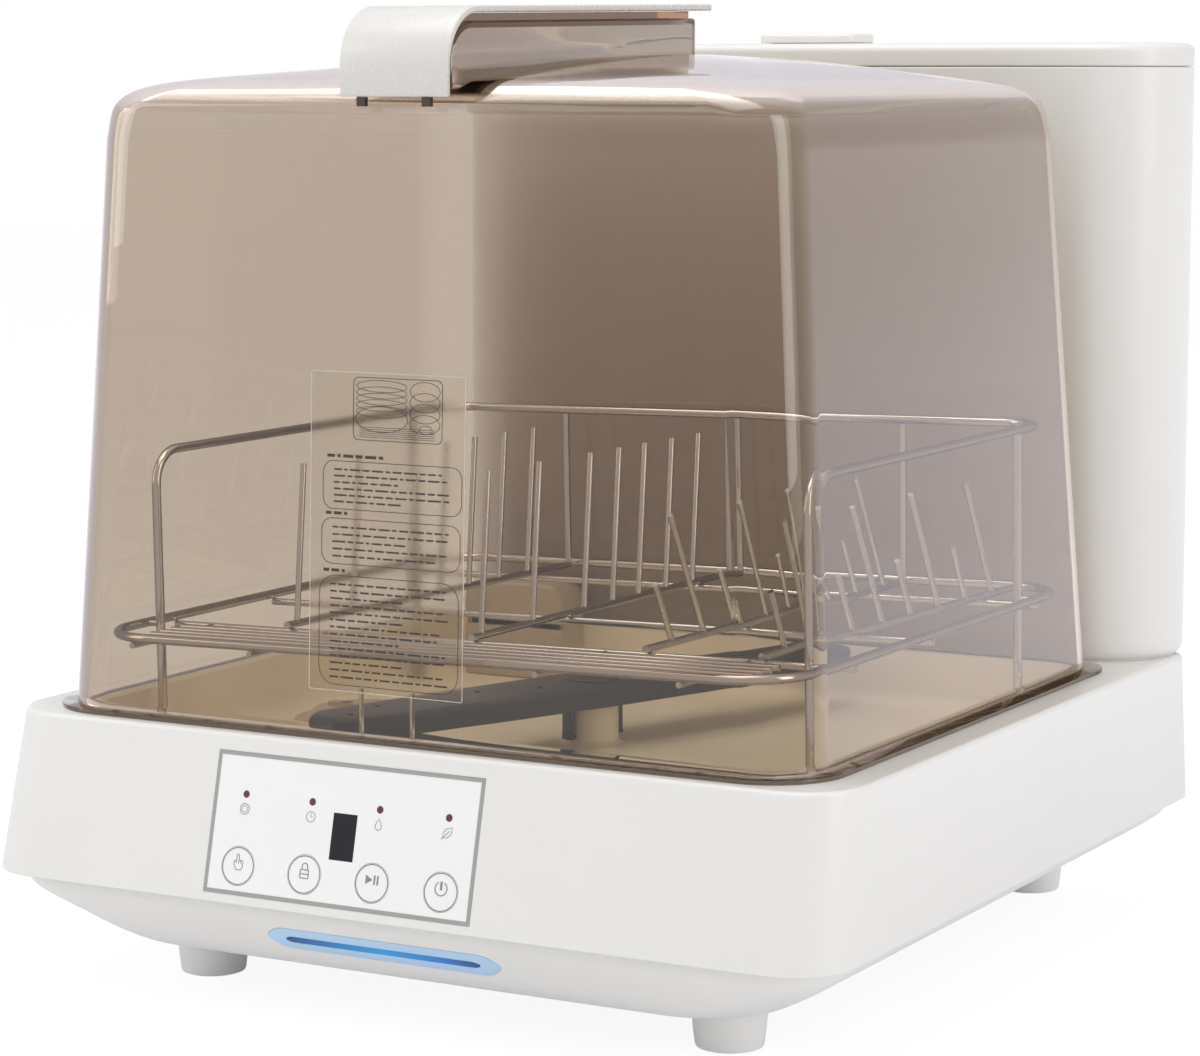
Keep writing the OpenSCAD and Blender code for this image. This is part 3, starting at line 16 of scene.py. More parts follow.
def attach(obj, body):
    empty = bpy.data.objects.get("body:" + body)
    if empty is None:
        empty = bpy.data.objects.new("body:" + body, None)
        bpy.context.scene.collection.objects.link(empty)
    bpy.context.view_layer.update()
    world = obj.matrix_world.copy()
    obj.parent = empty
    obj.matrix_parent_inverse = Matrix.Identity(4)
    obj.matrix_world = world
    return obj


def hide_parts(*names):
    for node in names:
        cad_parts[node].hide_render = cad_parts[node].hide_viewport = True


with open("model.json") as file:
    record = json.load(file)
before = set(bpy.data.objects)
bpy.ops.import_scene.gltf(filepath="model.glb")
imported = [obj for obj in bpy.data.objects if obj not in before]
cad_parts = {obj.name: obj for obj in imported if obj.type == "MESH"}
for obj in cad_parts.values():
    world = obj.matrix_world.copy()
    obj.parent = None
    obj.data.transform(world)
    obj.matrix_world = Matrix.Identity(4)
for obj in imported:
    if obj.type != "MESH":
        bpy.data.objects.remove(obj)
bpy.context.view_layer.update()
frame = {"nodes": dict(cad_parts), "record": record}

logging.basicConfig(level=logging.INFO, format="%(message)s")
LOG = logging.getLogger("dishwasher")

MM = 0.001
# X and Y of what the belly, the tub and the casing share, in millimetres
SCREW_PLACES = [(x, y) for x in (-150, 150) for y in (-100, 104)]
SOCKET_PLACE = (10.0, 183.5)
HUB_PLACE = (0.0, -20.0)
FILTER_PLACE = (-118.0, -30.0)

BMesh = bmesh.types.BMesh
Pair = tuple[float, float]
Socket = bpy.types.NodeSocket
Tree = bpy.types.NodeTree


class Ray(Enum):
    """The kinds of ray that a light path tells apart."""

    CAMERA = "Is Camera Ray"
    SHADOW = "Is Shadow Ray"
    DIFFUSE = "Is Diffuse Ray"
    THROUGH = "Is Transmission Ray"
    # Glossy, but not on its way through a clear wall
    MIRROR = "Is Glossy Ray"


class Solid(Enum):
    """How one closed mesh is worked into another."""

    CUT = "DIFFERENCE"
    JOIN = "UNION"


# ---------------------------------------------------------------- materials


def linear(hex_code: str) -> tuple[float, float, float, float]:
    """Turns an sRGB hex colour into linear values.

    Args:
        hex_code: Six hex digits after a #.

    Returns:
        Linear red, green, blue and a full alpha.
    """
    channels = [int(hex_code[i : i + 2], 16) / 255.0 for i in (1, 3, 5)]
    red, green, blue = [c / 12.92 if c <= 0.04045 else ((c + 0.055) / 1.055) ** 2.4 for c in channels]
    return (red, green, blue, 1.0)


def add(tree: Tree, kind: str, inputs: dict | None = None, **props: object) -> bpy.types.Node:
    """Adds one node with its settings and its incoming links.

    Args:
        tree: The node tree that the node goes into.
        kind: The node's type name, without the ShaderNode that each starts with.
        inputs: By input name or number, a value to set or an output socket to link from.
        props: Properties of the node itself, such as an operation.

    Returns:
        The new node.
    """
    node = tree.nodes.new(f"ShaderNode{kind}")
    for key, value in props.items():
        setattr(node, key, value)
    for key, value in (inputs or {}).items():
        if isinstance(value, Socket):
            tree.links.new(value, node.inputs[key])
        else:
            node.inputs[key].default_value = value
    return node


def any_of(tree: Tree, *rays: Ray) -> Socket:
    """Gives a value that is 1 for some kinds of ray and 0 for the others.

    Args:
        tree: The node tree.
        rays: The kinds that count.

    Returns:
        The value's socket.
    """
    path = add(tree, "LightPath").outputs
    value = None
    for ray in rays:
        other = path[ray.value]
        if ray is Ray.MIRROR:
            less = {0: other, 1: path[Ray.THROUGH.value]}
            other = add(tree, "Math", less, operation="SUBTRACT", use_clamp=True).outputs["Value"]
        if value is not None:
            other = add(tree, "Math", {0: value, 1: other}, operation="MAXIMUM").outputs["Value"]
        value = other
    return value


@dataclass(frozen=True)
class Finish:
    """A finish by its name; each kind of finish says what light meets on it."""

    name: str

    def output(self, tree: Tree, point: Socket) -> dict[str, Socket]:
        """Builds the nodes.

        Args:
            tree: The material's empty tree.
            point: Object coordinates.

        Returns:
            What is linked to the material's output.
        """
        raise NotImplementedError

    def material(self) -> bpy.types.Material:
        """Builds the material.

        Returns:
            The finished material.
        """
        material = bpy.data.materials.new(self.name)
        material.use_nodes = True
        tree = material.node_tree
        tree.nodes.clear()
        add(tree, "OutputMaterial", self.output(tree, add(tree, "TexCoord").outputs["Object"]))
        return material


@dataclass(frozen=True)
class MouldedPlastic(Finish):
    """Injection-moulded plastic: an even colour, a faint orange peel and a soft gloss."""

    colour: str
    shade: str
    roughness: float = 0.34
    grain_mm: float = 1.6
    bump: float = 0.05
    drift_mm: float = 90.0

    def output(self, tree: Tree, point: Socket) -> dict[str, Socket]:
        """Builds the nodes.

        Args:
            tree: The material's empty tree.
            point: Object coordinates.

        Returns:
            What is linked to the material's output.
        """
        # Slow drift of the pigment, a hand's width across
        drift = add(tree, "TexNoise", {"Scale": 1000 / self.drift_mm, "Detail": 2.0, "Vector": point})
        tones = {"A": linear(self.colour), "B": linear(self.shade), "Factor": drift.outputs["Fac"]}
        # Fine flow texture left by the mould
        peel = add(tree, "TexNoise", {"Scale": 1000 / self.grain_mm, "Detail": 3.0, "Vector": point})
        height = peel.outputs["Fac"]
        gloss = {"To Min": self.roughness - 0.03, "To Max": self.roughness + 0.05, "Value": height}
        bump = add(tree, "Bump", {"Strength": self.bump, "Distance": 0.00008, "Height": height})
        shader = {
            "IOR": 1.5,
            "Base Color": add(tree, "Mix", tones, data_type="RGBA").outputs["Result"],
            "Roughness": add(tree, "MapRange", gloss).outputs["Result"],
            "Normal": bump.outputs["Normal"],
        }
        return {"Surface": add(tree, "BsdfPrincipled", shader).outputs["BSDF"]}


@dataclass(frozen=True)
class BrightMetal(Finish):
    """Drawn or turned metal: streaks along the wire, a mirror-like gloss, and a painted reflection that
    makes the base colour lighter where the surface faces the viewer and darker on the flanks.
    """

    colour: str
    # Colour painted on the flanks, a painted reflection of a dim room
    painted_flank_reflection: str
    roughness: float = 0.16
    streak_mm: float = 0.6
    patch_mm: float = 25.0

    def output(self, tree: Tree, point: Socket) -> dict[str, Socket]:
        """Builds the nodes.

        Args:
            tree: The material's empty tree.
            point: Object coordinates.

        Returns:
            What is linked to the material's output.
        """
        # The die draws its streaks four times as long as they are wide
        drawn = add(tree, "Mapping", {"Scale": (1.0, 1.0, 0.25), "Vector": point}).outputs["Vector"]
        streaks = add(tree, "TexNoise", {"Scale": 1000 / self.streak_mm, "Detail": 2.0, "Vector": drawn})
        patches = add(tree, "TexNoise", {"Scale": 1000 / self.patch_mm, "Detail": 1.0, "Vector": drawn})
        gloss = {
            "To Min": self.roughness - 0.05,
            "To Max": self.roughness + 0.08,
            "Value": patches.outputs["Fac"],
        }
        relief = {"Strength": 0.12, "Distance": 0.00006, "Height": streaks.outputs["Fac"]}
        # Painted reflection: the base colour is lighter where the wire faces the viewer and darker along its
        # flanks, standing in for the lamps and the dim room mirrored there; the real gloss comes on top
        turned = add(tree, "LayerWeight", {"Blend": 0.5}).outputs["Facing"]
        tones = {"A": linear(self.colour), "B": linear(self.painted_flank_reflection), "Factor": turned}
        shader = {
            "Metallic": 1.0,
            "Base Color": add(tree, "Mix", tones, data_type="RGBA").outputs["Result"],
            "Roughness": add(tree, "MapRange", gloss).outputs["Result"],
            "Normal": add(tree, "Bump", relief).outputs["Normal"],
        }
        return {"Surface": add(tree, "BsdfPrincipled", shader).outputs["BSDF"]}


@dataclass(frozen=True)
class SmokeClear(Finish):
    """Smoke-tinted polycarbonate: clear and glossy, darker where more of it is looked through."""

    surface: str = "#e8e2db"
    crown: str = "#ffffff"
    wall: str = "#eae6e1"
    body: str = "#c8aa79"
    density: float = 76.0
    roughness: float = 0.012
    wave_mm: float = 60.0

    def output(self, tree: Tree, point: Socket) -> dict[str, Socket]:
        """Builds the nodes; light for the inside passes as through tinted glass.

        Args:
            tree: The material's empty tree.
            point: Object coordinates.

        Returns:
            What is linked to the material's output.
        """
        # Slow waves of the mould's polish, some centimetres apart
        waves = add(tree, "TexNoise", {"Scale": 1000 / self.wave_mm, "Detail": 0.0, "Vector": point})
        relief = {"Strength": 0.06, "Distance": 0.002, "Height": waves.outputs["Fac"]}
        clear = {
            "Base Color": linear(self.surface),
            "Roughness": self.roughness,
            "IOR": 1.52,
            "Transmission Weight": 1.0,
            "Normal": add(tree, "Bump", relief).outputs["Normal"],
        }
        # Light from overhead meets the upright walls at a glancing angle and loses more there
        normal = add(tree, "NewGeometry").outputs["Normal"]
        upward = add(tree, "SeparateXYZ", {"Vector": normal}).outputs["Z"]
        level = add(tree, "Math", {0: upward}, operation="ABSOLUTE").outputs["Value"]
        tones = {"A": linear(self.wall), "B": linear(self.crown), "Factor": level}
        tint = add(tree, "Mix", tones, data_type="RGBA").outputs["Result"]
        faces = {
            0: any_of(tree, Ray.SHADOW, Ray.DIFFUSE, Ray.MIRROR),
            1: add(tree, "BsdfPrincipled", clear).outputs["BSDF"],
            2: add(tree, "BsdfTransparent", {"Color": tint}).outputs["BSDF"],
        }
        smoke = {"Color": linear(self.body), "Density": self.density}
        return {
            "Surface": add(tree, "MixShader", faces).outputs["Shader"],
            "Volume": add(tree, "VolumeAbsorption", smoke).outputs["Volume"],
        }


@dataclass(frozen=True)
class ClearFilm(Finish):
    """Thin clear film with a satin face: what lies behind it shows, but blurred and grainy."""

    colour: str = "#fcfbf8"
    roughness: float = 0.12
    grain_mm: float = 0.8

    def output(self, tree: Tree, point: Socket) -> dict[str, Socket]:
        """Builds the nodes.

        Args:
            tree: The material's empty tree.
            point: Object coordinates.

        Returns:
            What is linked to the material's output.
        """
        # Matting grains of the rolled face, drawn coarse enough to show
        grain = add(tree, "TexNoise", {"Scale": 1000 / self.grain_mm, "Detail": 2.0, "Vector": point})
        gloss = {
            "To Min": self.roughness * 0.8,
            "To Max": self.roughness * 1.2,
            "Value": grain.outputs["Fac"],
        }
        satin = {
            "Base Color": linear(self.colour),
            "IOR": 1.2,
            "Transmission Weight": 1.0,
            "Roughness": add(tree, "MapRange", gloss).outputs["Result"],
        }
        faces = {
            0: any_of(tree, Ray.SHADOW, Ray.DIFFUSE, Ray.MIRROR),
            1: add(tree, "BsdfPrincipled", satin).outputs["BSDF"],
            2: add(tree, "BsdfTransparent", {"Color": linear("#f7f5f1")}).outputs["BSDF"],
        }
        return {"Surface": add(tree, "MixShader", faces).outputs["Shader"]}


@dataclass(frozen=True)
class LitBar(Finish):
    """Light bar behind a clear lens: cyan in the middle, navy at the ends."""

    half_length_mm: float = 50.0
    middle_mm: float = -6.0
    stops: tuple[tuple[float, str], ...] = (
        (0.0, "#16324f"), (0.12, "#1b5f9c"), (0.5, "#1f9be0"), (0.8, "#1a78c2"), (1.0, "#142c5a"),
    )

    def output(self, tree: Tree, point: Socket) -> dict[str, Socket]:
        """Builds the nodes.

        Args:
            tree: The material's empty tree.
            point: Object coordinates.

        Returns:
            What is linked to the material's output.
        """
        # The light boards sit behind the middle, so the lens fades to navy towards its ends
        run = {
            "Value": add(tree, "SeparateXYZ", {"Vector": point}).outputs["X"],
            "From Min": (self.middle_mm - self.half_length_mm) * MM,
            "From Max": (self.middle_mm + self.half_length_mm) * MM,
        }
        ramp = add(tree, "ValToRGB", {"Fac": add(tree, "MapRange", run).outputs["Result"]})
        elements = ramp.color_ramp.elements
        while len(elements) < len(self.stops):
            elements.new(0.5)
        for element, (place, colour) in zip(elements, self.stops):
            element.position = place
            element.color = linear(colour)
        lens = {
            "Base Color": linear("#0d2c55"),
            "Roughness": 0.2,
            "Emission Strength": 0.75,
            "Emission Color": ramp.outputs["Color"],
        }
        return {"Surface": add(tree, "BsdfPrincipled", lens).outputs["BSDF"]}


@dataclass(frozen=True)
class PaleFloor(Finish):
    """Pale backdrop floor: it looks white and keeps the shadow."""

    def output(self, tree: Tree, point: Socket) -> dict[str, Socket]:
        """Builds the nodes.

        Args:
            tree: The material's empty tree.
            point: Object coordinates.

        Returns:
            What is linked to the material's output.
        """
        glow = add(tree, "Emission", {"Color": (1, 1, 1, 1), "Strength": 1.06})
        # Behind the machine the mirrored floor is brighter, as with a lit backdrop
        depth = {
            "Value": add(tree, "SeparateXYZ", {"Vector": point}).outputs["Y"],
            "From Min": -0.2,
            "From Max": 1.4,
            "To Min": 1.0,
            "To Max": 2.0,
        }
        far = add(tree, "MapRange", depth).outputs["Result"]
        mirrored = add(tree, "Emission", {"Color": linear("#dbdce9"), "Strength": far})
        looks = {0: any_of(tree, Ray.MIRROR), 1: glow.outputs["Emission"], 2: mirrored.outputs["Emission"]}
        seen = any_of(tree, Ray.CAMERA, Ray.THROUGH, Ray.MIRROR)
        faces = {
            0: add(tree, "Math", {0: seen, 1: 0.86}, operation="MULTIPLY").outputs["Value"],
            1: add(tree, "BsdfDiffuse", {"Color": linear("#f8f8f8")}).outputs["BSDF"],
            2: add(tree, "MixShader", looks).outputs["Shader"],
        }
        return {"Surface": add(tree, "MixShader", faces).outputs["Shader"]}


class Look(Enum):
    """Every finish, by its place on the machine."""

    CASING = MouldedPlastic("white_abs", "#ebe9e5", "#e8e6e2", 0.3)
    LID = MouldedPlastic("white_abs_lid", "#e9e6e1", "#e6e3de", 0.28)
    CAP = MouldedPlastic("white_abs_cap", "#dedbd5", "#dbd8d2", 0.26)
    FOOT = MouldedPlastic("moulded_rubber_feet", "#fdfcf9", "#f7f5f2", 0.55, 0.9, 0.2)
    TUB = MouldedPlastic("cream_polypropylene", "#fdf5dd", "#f7edd2", 0.32, 1.2, 0.08)
    BEIGE = MouldedPlastic("beige_polypropylene", "#cdbfa8", "#c4b59c", 0.4, 1.2, 0.08)
    ARM = MouldedPlastic("dark_grey_polypropylene", "#4b4f51", "#414547", 0.28, 1.0, 0.04)
    CLIP = MouldedPlastic("brown_snap_tabs", "#4a3f36", "#3d342d", 0.4)
    PRINT_GREY = MouldedPlastic("grey_screen_print", "#a4a49e", "#9f9f99", 0.5)
    PRINT_MID = MouldedPlastic("mid_grey_screen_print", "#8b8b89", "#858583", 0.5)
    PRINT_DARK = MouldedPlastic("dark_screen_print", "#4a4a4a", "#434343", 0.5)
    FILM_PRINT = MouldedPlastic("dark_brown_film_print", "#3f3731", "#39322c", 0.5)
    FILM_EDGE = MouldedPlastic("cut_film_edge", "#d6cfc5", "#cfc8be", 0.4)
    OVERLAY = MouldedPlastic("white_polyester_overlay", "#f5f5f4", "#f2f2f1", 0.25, 0.8, 0.1)
    WINDOW = MouldedPlastic("black_display_lens", "#161719", "#0e0f11", 0.12)
    LAMP = MouldedPlastic("tinted_light_pipe", "#6a4038", "#5a352f", 0.2)
    LIGHT_PAD = MouldedPlastic("frosted_blue_pad", "#bfdcf6", "#b2d3f2", 0.45)
    LIGHT_BAR = LitBar("lit_lens")
    # The second colour of each metal is painted on its flanks as a dim reflection
    STEEL = BrightMetal("drawn_stainless_wire", "#f3efe8", "#4f4b43", 0.12)
    ZINC = BrightMetal("zinc_plated_steel", "#b9bbbd", "#8f9193", 0.3)
    CAST = BrightMetal("die_cast_aluminium", "#a9acaf", "#8b8e91", 0.42)
    HOOD = SmokeClear("smoke_polycarbonate")
    RIM = SmokeClear("smoke_polycarbonate_rim", body="#948f97", density=120.0)
    FILM = ClearFilm("satin_film")
    PUMP = MouldedPlastic("grey_filled_nylon", "#7c7f83", "#6f7276", 0.5)
    MOTOR = MouldedPlastic("black_painted_steel", "#3a3d41", "#33363a", 0.4)
    HOSE = MouldedPlastic("grey_rubber_hose", "#5f6164", "#55575a", 0.6, 0.8, 0.2)
    BOARD = MouldedPlastic("green_circuit_board", "#2b6a48", "#24593c", 0.35)
    ACETAL = MouldedPlastic("natural_acetal", "#e6e5e2", "#dddcd8", 0.35)
    SILICONE = MouldedPlastic("orange_silicone", "#d9853f", "#cf7a35", 0.55)
    BOOT = MouldedPlastic("beige_silicone_boots", "#b3a794", "#a89b87", 0.55)
    SEAL = MouldedPlastic("black_rubber_seal", "#26272a", "#202124", 0.6)
    FLOOR = PaleFloor("pale_floor")

    @cached_property
    def material(self) -> bpy.types.Material:
        """The material, built when it is first asked for."""
        return self.value.material()


# The finish of each slot in the record, for the CAD nodes that stay in view
BY_SLOT: dict[str, Look] = {
    "casing": Look.CASING, "foot": Look.FOOT, "steel": Look.STEEL, "screw": Look.ZINC, "tub": Look.BEIGE,
    "pump": Look.PUMP, "motor": Look.MOTOR, "hose": Look.HOSE, "heater": Look.CAST, "board": Look.BOARD,
    "overlay": Look.OVERLAY, "border": Look.PRINT_GREY, "window": Look.WINDOW, "lamp": Look.LAMP,
    "light_pad": Look.LIGHT_PAD, "light_bar": Look.LIGHT_BAR, "arm": Look.ARM, "white_part": Look.ACETAL,
    "hood": Look.HOOD, "film": Look.FILM, "clip": Look.CLIP, "boot": Look.BOOT, "poppet": Look.SILICONE,
    "spring": Look.ZINC, "seal": Look.SEAL, "sensor": Look.MOTOR,
}


# ---------------------------------------------------------------- shapes


@dataclass(frozen=True)
class Outline:
    """A rounded rectangle at one height, in millimetres."""

    z: float
    x0: float
    x1: float
    y0: float
    y1: float
    front_r: float
    rear_r: float

    def inset(self, by: float, z: float | None = None) -> "Outline":
        """Gives the outline moved in on all sides.

        Args:
            by: Distance to move in; negative moves out.
            z: New height, or None to keep it.

        Returns:
            The new outline.
        """
        return Outline(
            self.z if z is None else z,
            self.x0 + by,
            self.x1 - by,
            self.y0 + by,
            self.y1 - by,
            max(self.front_r - by, 0.4),
            max(self.rear_r - by, 0.4),
        )

    @property
    def hold(self) -> float:
        """Gives the length that is held straight beside each corner's arc.

        Returns:
            The length in millimetres.
        """
        across = self.x1 - self.x0 - 2 * max(self.front_r, self.rear_r)
        deep = self.y1 - self.y0 - self.front_r - self.rear_r
        return max(0.02, min(1.5, 0.3 * across, 0.3 * deep))

    def point(self, quadrant: int, turn: float, on: float) -> Pair:
        """Gives a point of one corner's arc, or of the straight run beside it.

        Args:
            quadrant: 0 rear right, 1 rear left, 2 front left, 3 front right.
            turn: Share of the quarter turn, 0 to 1.
            on: Distance from the arc's end along the straight run; negative lies before the arc.

        Returns:
            X and Y in millimetres.
        """
        radius = self.rear_r if quadrant < 2 else self.front_r
        cx = self.x1 - radius if quadrant in (0, 3) else self.x0 + radius
        cy = self.y1 - radius if quadrant < 2 else self.y0 + radius
        angle = math.radians(90 * (quadrant + turn))
        c, s = math.cos(angle), math.sin(angle)
        return cx + radius * c - on * s, cy + radius * s + on * c

    def towards(self, other: "Outline", z: float) -> "Outline":
        """Gives the outline at a height on the straight wall from this one to another.

        Args:
            other: The outline at the wall's other end.
            z: The height.

        Returns:
            The outline between.
        """
        t = (z - self.z) / (other.z - self.z)
        return Outline(*[a + (b - a) * t for a, b in zip(astuple(self), astuple(other))])


def corners(grown: Iterable[object]) -> list[bmesh.types.BMVert]:
    """Gives the vertices among what an operator made."""
    return [part for part in grown if isinstance(part, bmesh.types.BMVert)]


class Loft:
    """A skin drawn through outlines, started from a circle and extruded row by row."""

    def __init__(self, first: Outline, steps: int = 14) -> None:
        """Starts the skin.

        Args:
            first: The first outline.
            steps: Edges along each corner's arc.
        """
        self.steps = steps
        self.bm = bmesh.new()
        self.spoke = self.bm.verts.layers.int.new("spoke")
        ring = bmesh.ops.create_circle(self.bm, segments=4 * (steps + 3), radius=1.0)["verts"]
        for number, vert in enumerate(ring):
            vert[self.spoke] = number
        self.edges = list({edge for vert in ring for edge in vert.link_edges})
        self.start = list(self.edges)
        self._place(ring, first)

    def _place(self, verts: Iterable[bmesh.types.BMVert], outline: Outline) -> None:
        """Moves one row of vertices onto an outline; two a corner hold its straight runs flat.

        Args:
            verts: The row.
            outline: Where it goes.
        """
        for vert in verts:
            quadrant, step = divmod(vert[self.spoke], self.steps + 3)
            turn = min(max(step - 1, 0), self.steps)
            x, y = outline.point(quadrant, turn / self.steps, outline.hold * (step - 1 - turn))
            vert.co = Vector((x, y, outline.z)) * MM

    def to(self, *outlines: Outline) -> "Loft":
        """Extrudes the open edge to each outline in turn.

        Args:
            outlines: The next outlines.

        Returns:
            The loft itself.
        """
        for outline in outlines:
            grown = bmesh.ops.extrude_edge_only(self.bm, edges=self.edges)["geom"]
            verts = corners(grown)
            inside = set(verts)
            edges = [part for part in grown if isinstance(part, bmesh.types.BMEdge)]
            self.edges = [edge for edge in edges if inside.issuperset(edge.verts)]
            self._place(verts, outline)
        return self

    def close(self) -> BMesh:
        """Fills both open ends and turns the faces outwards."""
        bmesh.ops.holes_fill(self.bm, edges=self.bm.edges, sides=0)
        return outwards(self.bm)

    def ring(self) -> BMesh:
        """Joins the last row to the first one, which leaves the middle open."""
        bmesh.ops.bridge_loops(self.bm, edges=self.start + self.edges)
        return outwards(self.bm)


def outwards(bm: BMesh) -> BMesh:
    """Turns a closed mesh's faces outwards and gives it back."""
    bmesh.ops.recalc_face_normals(bm, faces=bm.faces)
    return bm


def rounding(start: Outline, radius: float, rise: float, steps: int = 5) -> list[Outline]:
    """Gives outlines that round an edge over, from upright to flat.

    Args:
        start: The outline where the rounding begins.
        radius: How far the edge moves in.
        rise: How far it moves up; negative moves down.
        steps: Number of outlines.

    Returns:
        The outlines, the start left out.
    """
    angles = [math.pi / 2 * step / steps for step in range(1, steps + 1)]
    return [start.inset(radius * (1 - math.cos(a)), start.z + rise * math.sin(a)) for a in angles]


def monotone(xs: Sequence[float], ys: Sequence[float], at: float) -> float:
    """Reads a smooth curve without overshoot through points.

    Args:
        xs: Rising positions.
        ys: Values there.
        at: Position to read.

    Returns:
        The value.
    """
    n = len(xs)
    slopes = [(ys[i + 1] - ys[i]) / (xs[i + 1] - xs[i]) for i in range(n - 1)]
    inner = [0.0 if a * b <= 0 else 2 * a * b / (a + b) for a, b in zip(slopes, slopes[1:])]
    tangents = [slopes[0], *inner, slopes[-1]]
    i = max(k for k in range(n - 1) if xs[k] <= at + 1e-9)
    h = xs[i + 1] - xs[i]
    t = (at - xs[i]) / h
    return (
        (2 * t**3 - 3 * t**2 + 1) * ys[i]
        + (t**3 - 2 * t**2 + t) * h * tangents[i]
        + (-2 * t**3 + 3 * t**2) * ys[i + 1]
        + (t**3 - t**2) * h * tangents[i + 1]
    )


def refined(rows: Sequence[Outline], per_gap: int = 4) -> list[Outline]:
    """Puts smooth outlines between the given ones.

    Args:
        rows: Outlines from one end to the other.
        per_gap: How many steps each gap is cut into.

    Returns:
        All outlines in order.
    """
    places = [0.0]
    for a, b in zip(rows, rows[1:]):
        places.append(places[-1] + math.dist((a.z, a.x0, a.y0), (b.z, b.x0, b.y0)))
    columns = list(zip(*[astuple(row) for row in rows]))
    out = []
    for here, after in zip(places, places[1:]):
        for k in range(per_gap):
            at = here + (after - here) * k / per_gap
            out.append(Outline(*[monotone(places, column, at) for column in columns]))
    out.append(rows[-1])
    return out


def placed(move: Sequence[float], angle: float, axis: str) -> Matrix:
    """Gives the matrix that turns about an axis and then moves.

    Args:
        move: The move in millimetres.
        angle: The turn in radians.
        axis: X, Y or Z.

    Returns:
        The matrix, for meshes in metres.
    """
    return Matrix.Translation(Vector(move) * MM) @ Matrix.Rotation(angle, 4, axis)


def moved(bm: BMesh, matrix: Matrix) -> BMesh:
    """Moves a whole mesh by a matrix and gives it back."""
    bmesh.ops.transform(bm, matrix=matrix, verts=bm.verts)
    return bm


def spun(profile: Sequence[Pair], centre: Sequence[float] = (0, 0), steps: int = 48) -> BMesh:
    """Turns a profile about an upright axis.

    Args:
        profile: Radius and height pairs in millimetres, from axis to axis.
        centre: X and Y of the axis in millimetres.
        steps: Edges round the axis.

    Returns:
        The closed mesh.
    """
    bm = bmesh.new()
    x, y = centre[0] * MM, centre[1] * MM
    verts = [bm.verts.new((x + r * MM, y, z * MM)) for r, z in profile]
    edges = [bm.edges.new(pair) for pair in zip(verts, verts[1:])]
    bmesh.ops.spin(
        bm, geom=verts + edges, cent=(x, y, 0), axis=(0, 0, 1), angle=math.tau, steps=steps, use_merge=True
    )
    bmesh.ops.remove_doubles(bm, verts=bm.verts, dist=1e-6)
    return outwards(bm)


def rod(radius: float, low: float, high: float, centre: Sequence[float] = (0, 0), steps: int = 48) -> BMesh:
    """Makes a round upright bar.

    Args:
        radius: Its radius in millimetres.
        low: Its lower end.
        high: Its upper end.
        centre: X and Y of its axis.
        steps: Edges round it.

    Returns:
        The closed mesh.
    """
    return spun([(0, low), (radius, low), (radius, high), (0, high)], centre, steps)


def rod_y(radius: float, front: float, rear: float, x: float, z: float) -> BMesh:
    """Makes a round bar along Y.

    Args:
        radius: Its radius in millimetres.
        front: Its front end.
        rear: Its rear end.
        x: Its axis, across.
        z: Its axis, up.

    Returns:
        The closed mesh.
    """
    bar = rod(radius, front, rear, steps=40)
    return outwards(moved(bar, placed((x, 0, z), math.radians(-90), "X")))


def rounded(bm: BMesh, edges: Sequence[bmesh.types.BMEdge], radius: float, segments: int) -> BMesh:
    """Rounds edges of a mesh.

    Args:
        bm: The mesh.
        edges: The edges.
        radius: Radius in millimetres.
        segments: Edges across each rounding.

    Returns:
        The same mesh.
    """
    bmesh.ops.bevel(
        bm, geom=edges, offset=radius * MM, segments=segments, profile=0.5, affect="EDGES", material=-1,
        clamp_overlap=True,
    )
    return bm


def soften(bm: BMesh, radius: float, segments: int = 3, above: float = 35.0) -> BMesh:
    """Rounds the edges that are sharper than an angle.

    Args:
        bm: The mesh.
        radius: Radius in millimetres.
        segments: Edges across each rounding.
        above: Smallest angle between two faces, in degrees, that is rounded.

    Returns:
        The same mesh.
    """
    limit = math.radians(above)
    edges = [e for e in bm.edges if len(e.link_faces) == 2 and e.calc_face_angle(0.0) > limit]
    return rounded(bm, edges, radius, segments)


def along_y(bm: BMesh, above: float = -math.inf) -> list[bmesh.types.BMEdge]:
    """Gives the edges that run along Y and start higher than above, in millimetres."""
    starts = [(e, *e.verts) for e in bm.edges]
    return [e for e, a, b in starts if abs((a.co - b.co).normalized().y) > 0.9 and a.co.z > above * MM]


def block(size: Sequence[float], centre: Sequence[float], bevel: float = 0.0, segments: int = 3) -> BMesh:
    """Makes a block with rounded edges.

    Args:
        size: Lengths in millimetres.
        centre: Middle in millimetres.
        bevel: Radius of the edges in millimetres.
        segments: Edges across each rounding.

    Returns:
        The mesh.
    """
    bm = bmesh.new()
    bmesh.ops.create_cube(bm, size=1.0)
    bmesh.ops.scale(bm, vec=Vector(size) * MM, verts=bm.verts)
    bmesh.ops.translate(bm, vec=Vector(centre) * MM, verts=bm.verts)
    return rounded(bm, bm.edges[:], bevel, segments) if bevel else bm


def plate(points: Sequence[Sequence[float]], lift: Sequence[float]) -> BMesh:
    """Extrudes a flat outline.

    Args:
        points: Corners of the outline in millimetres, in order.
        lift: How far and which way it is extruded, in millimetres.

    Returns:
        The closed mesh.
    """
    bm = bmesh.new()
    bm.faces.new([bm.verts.new(Vector(p) * MM) for p in points])
    return thickened(bm, lift)


def thickened(bm: BMesh, lift: Sequence[float]) -> BMesh:
    """Extrudes an open skin to a closed solid.

    Args:
        bm: The skin.
        lift: How far and which way it is extruded, in millimetres.

    Returns:
        The same mesh.
    """
    grown = bmesh.ops.extrude_face_region(bm, geom=bm.faces[:], use_keep_orig=True)["geom"]
    bmesh.ops.translate(bm, vec=Vector(lift) * MM, verts=corners(grown))
    return outwards(bm)


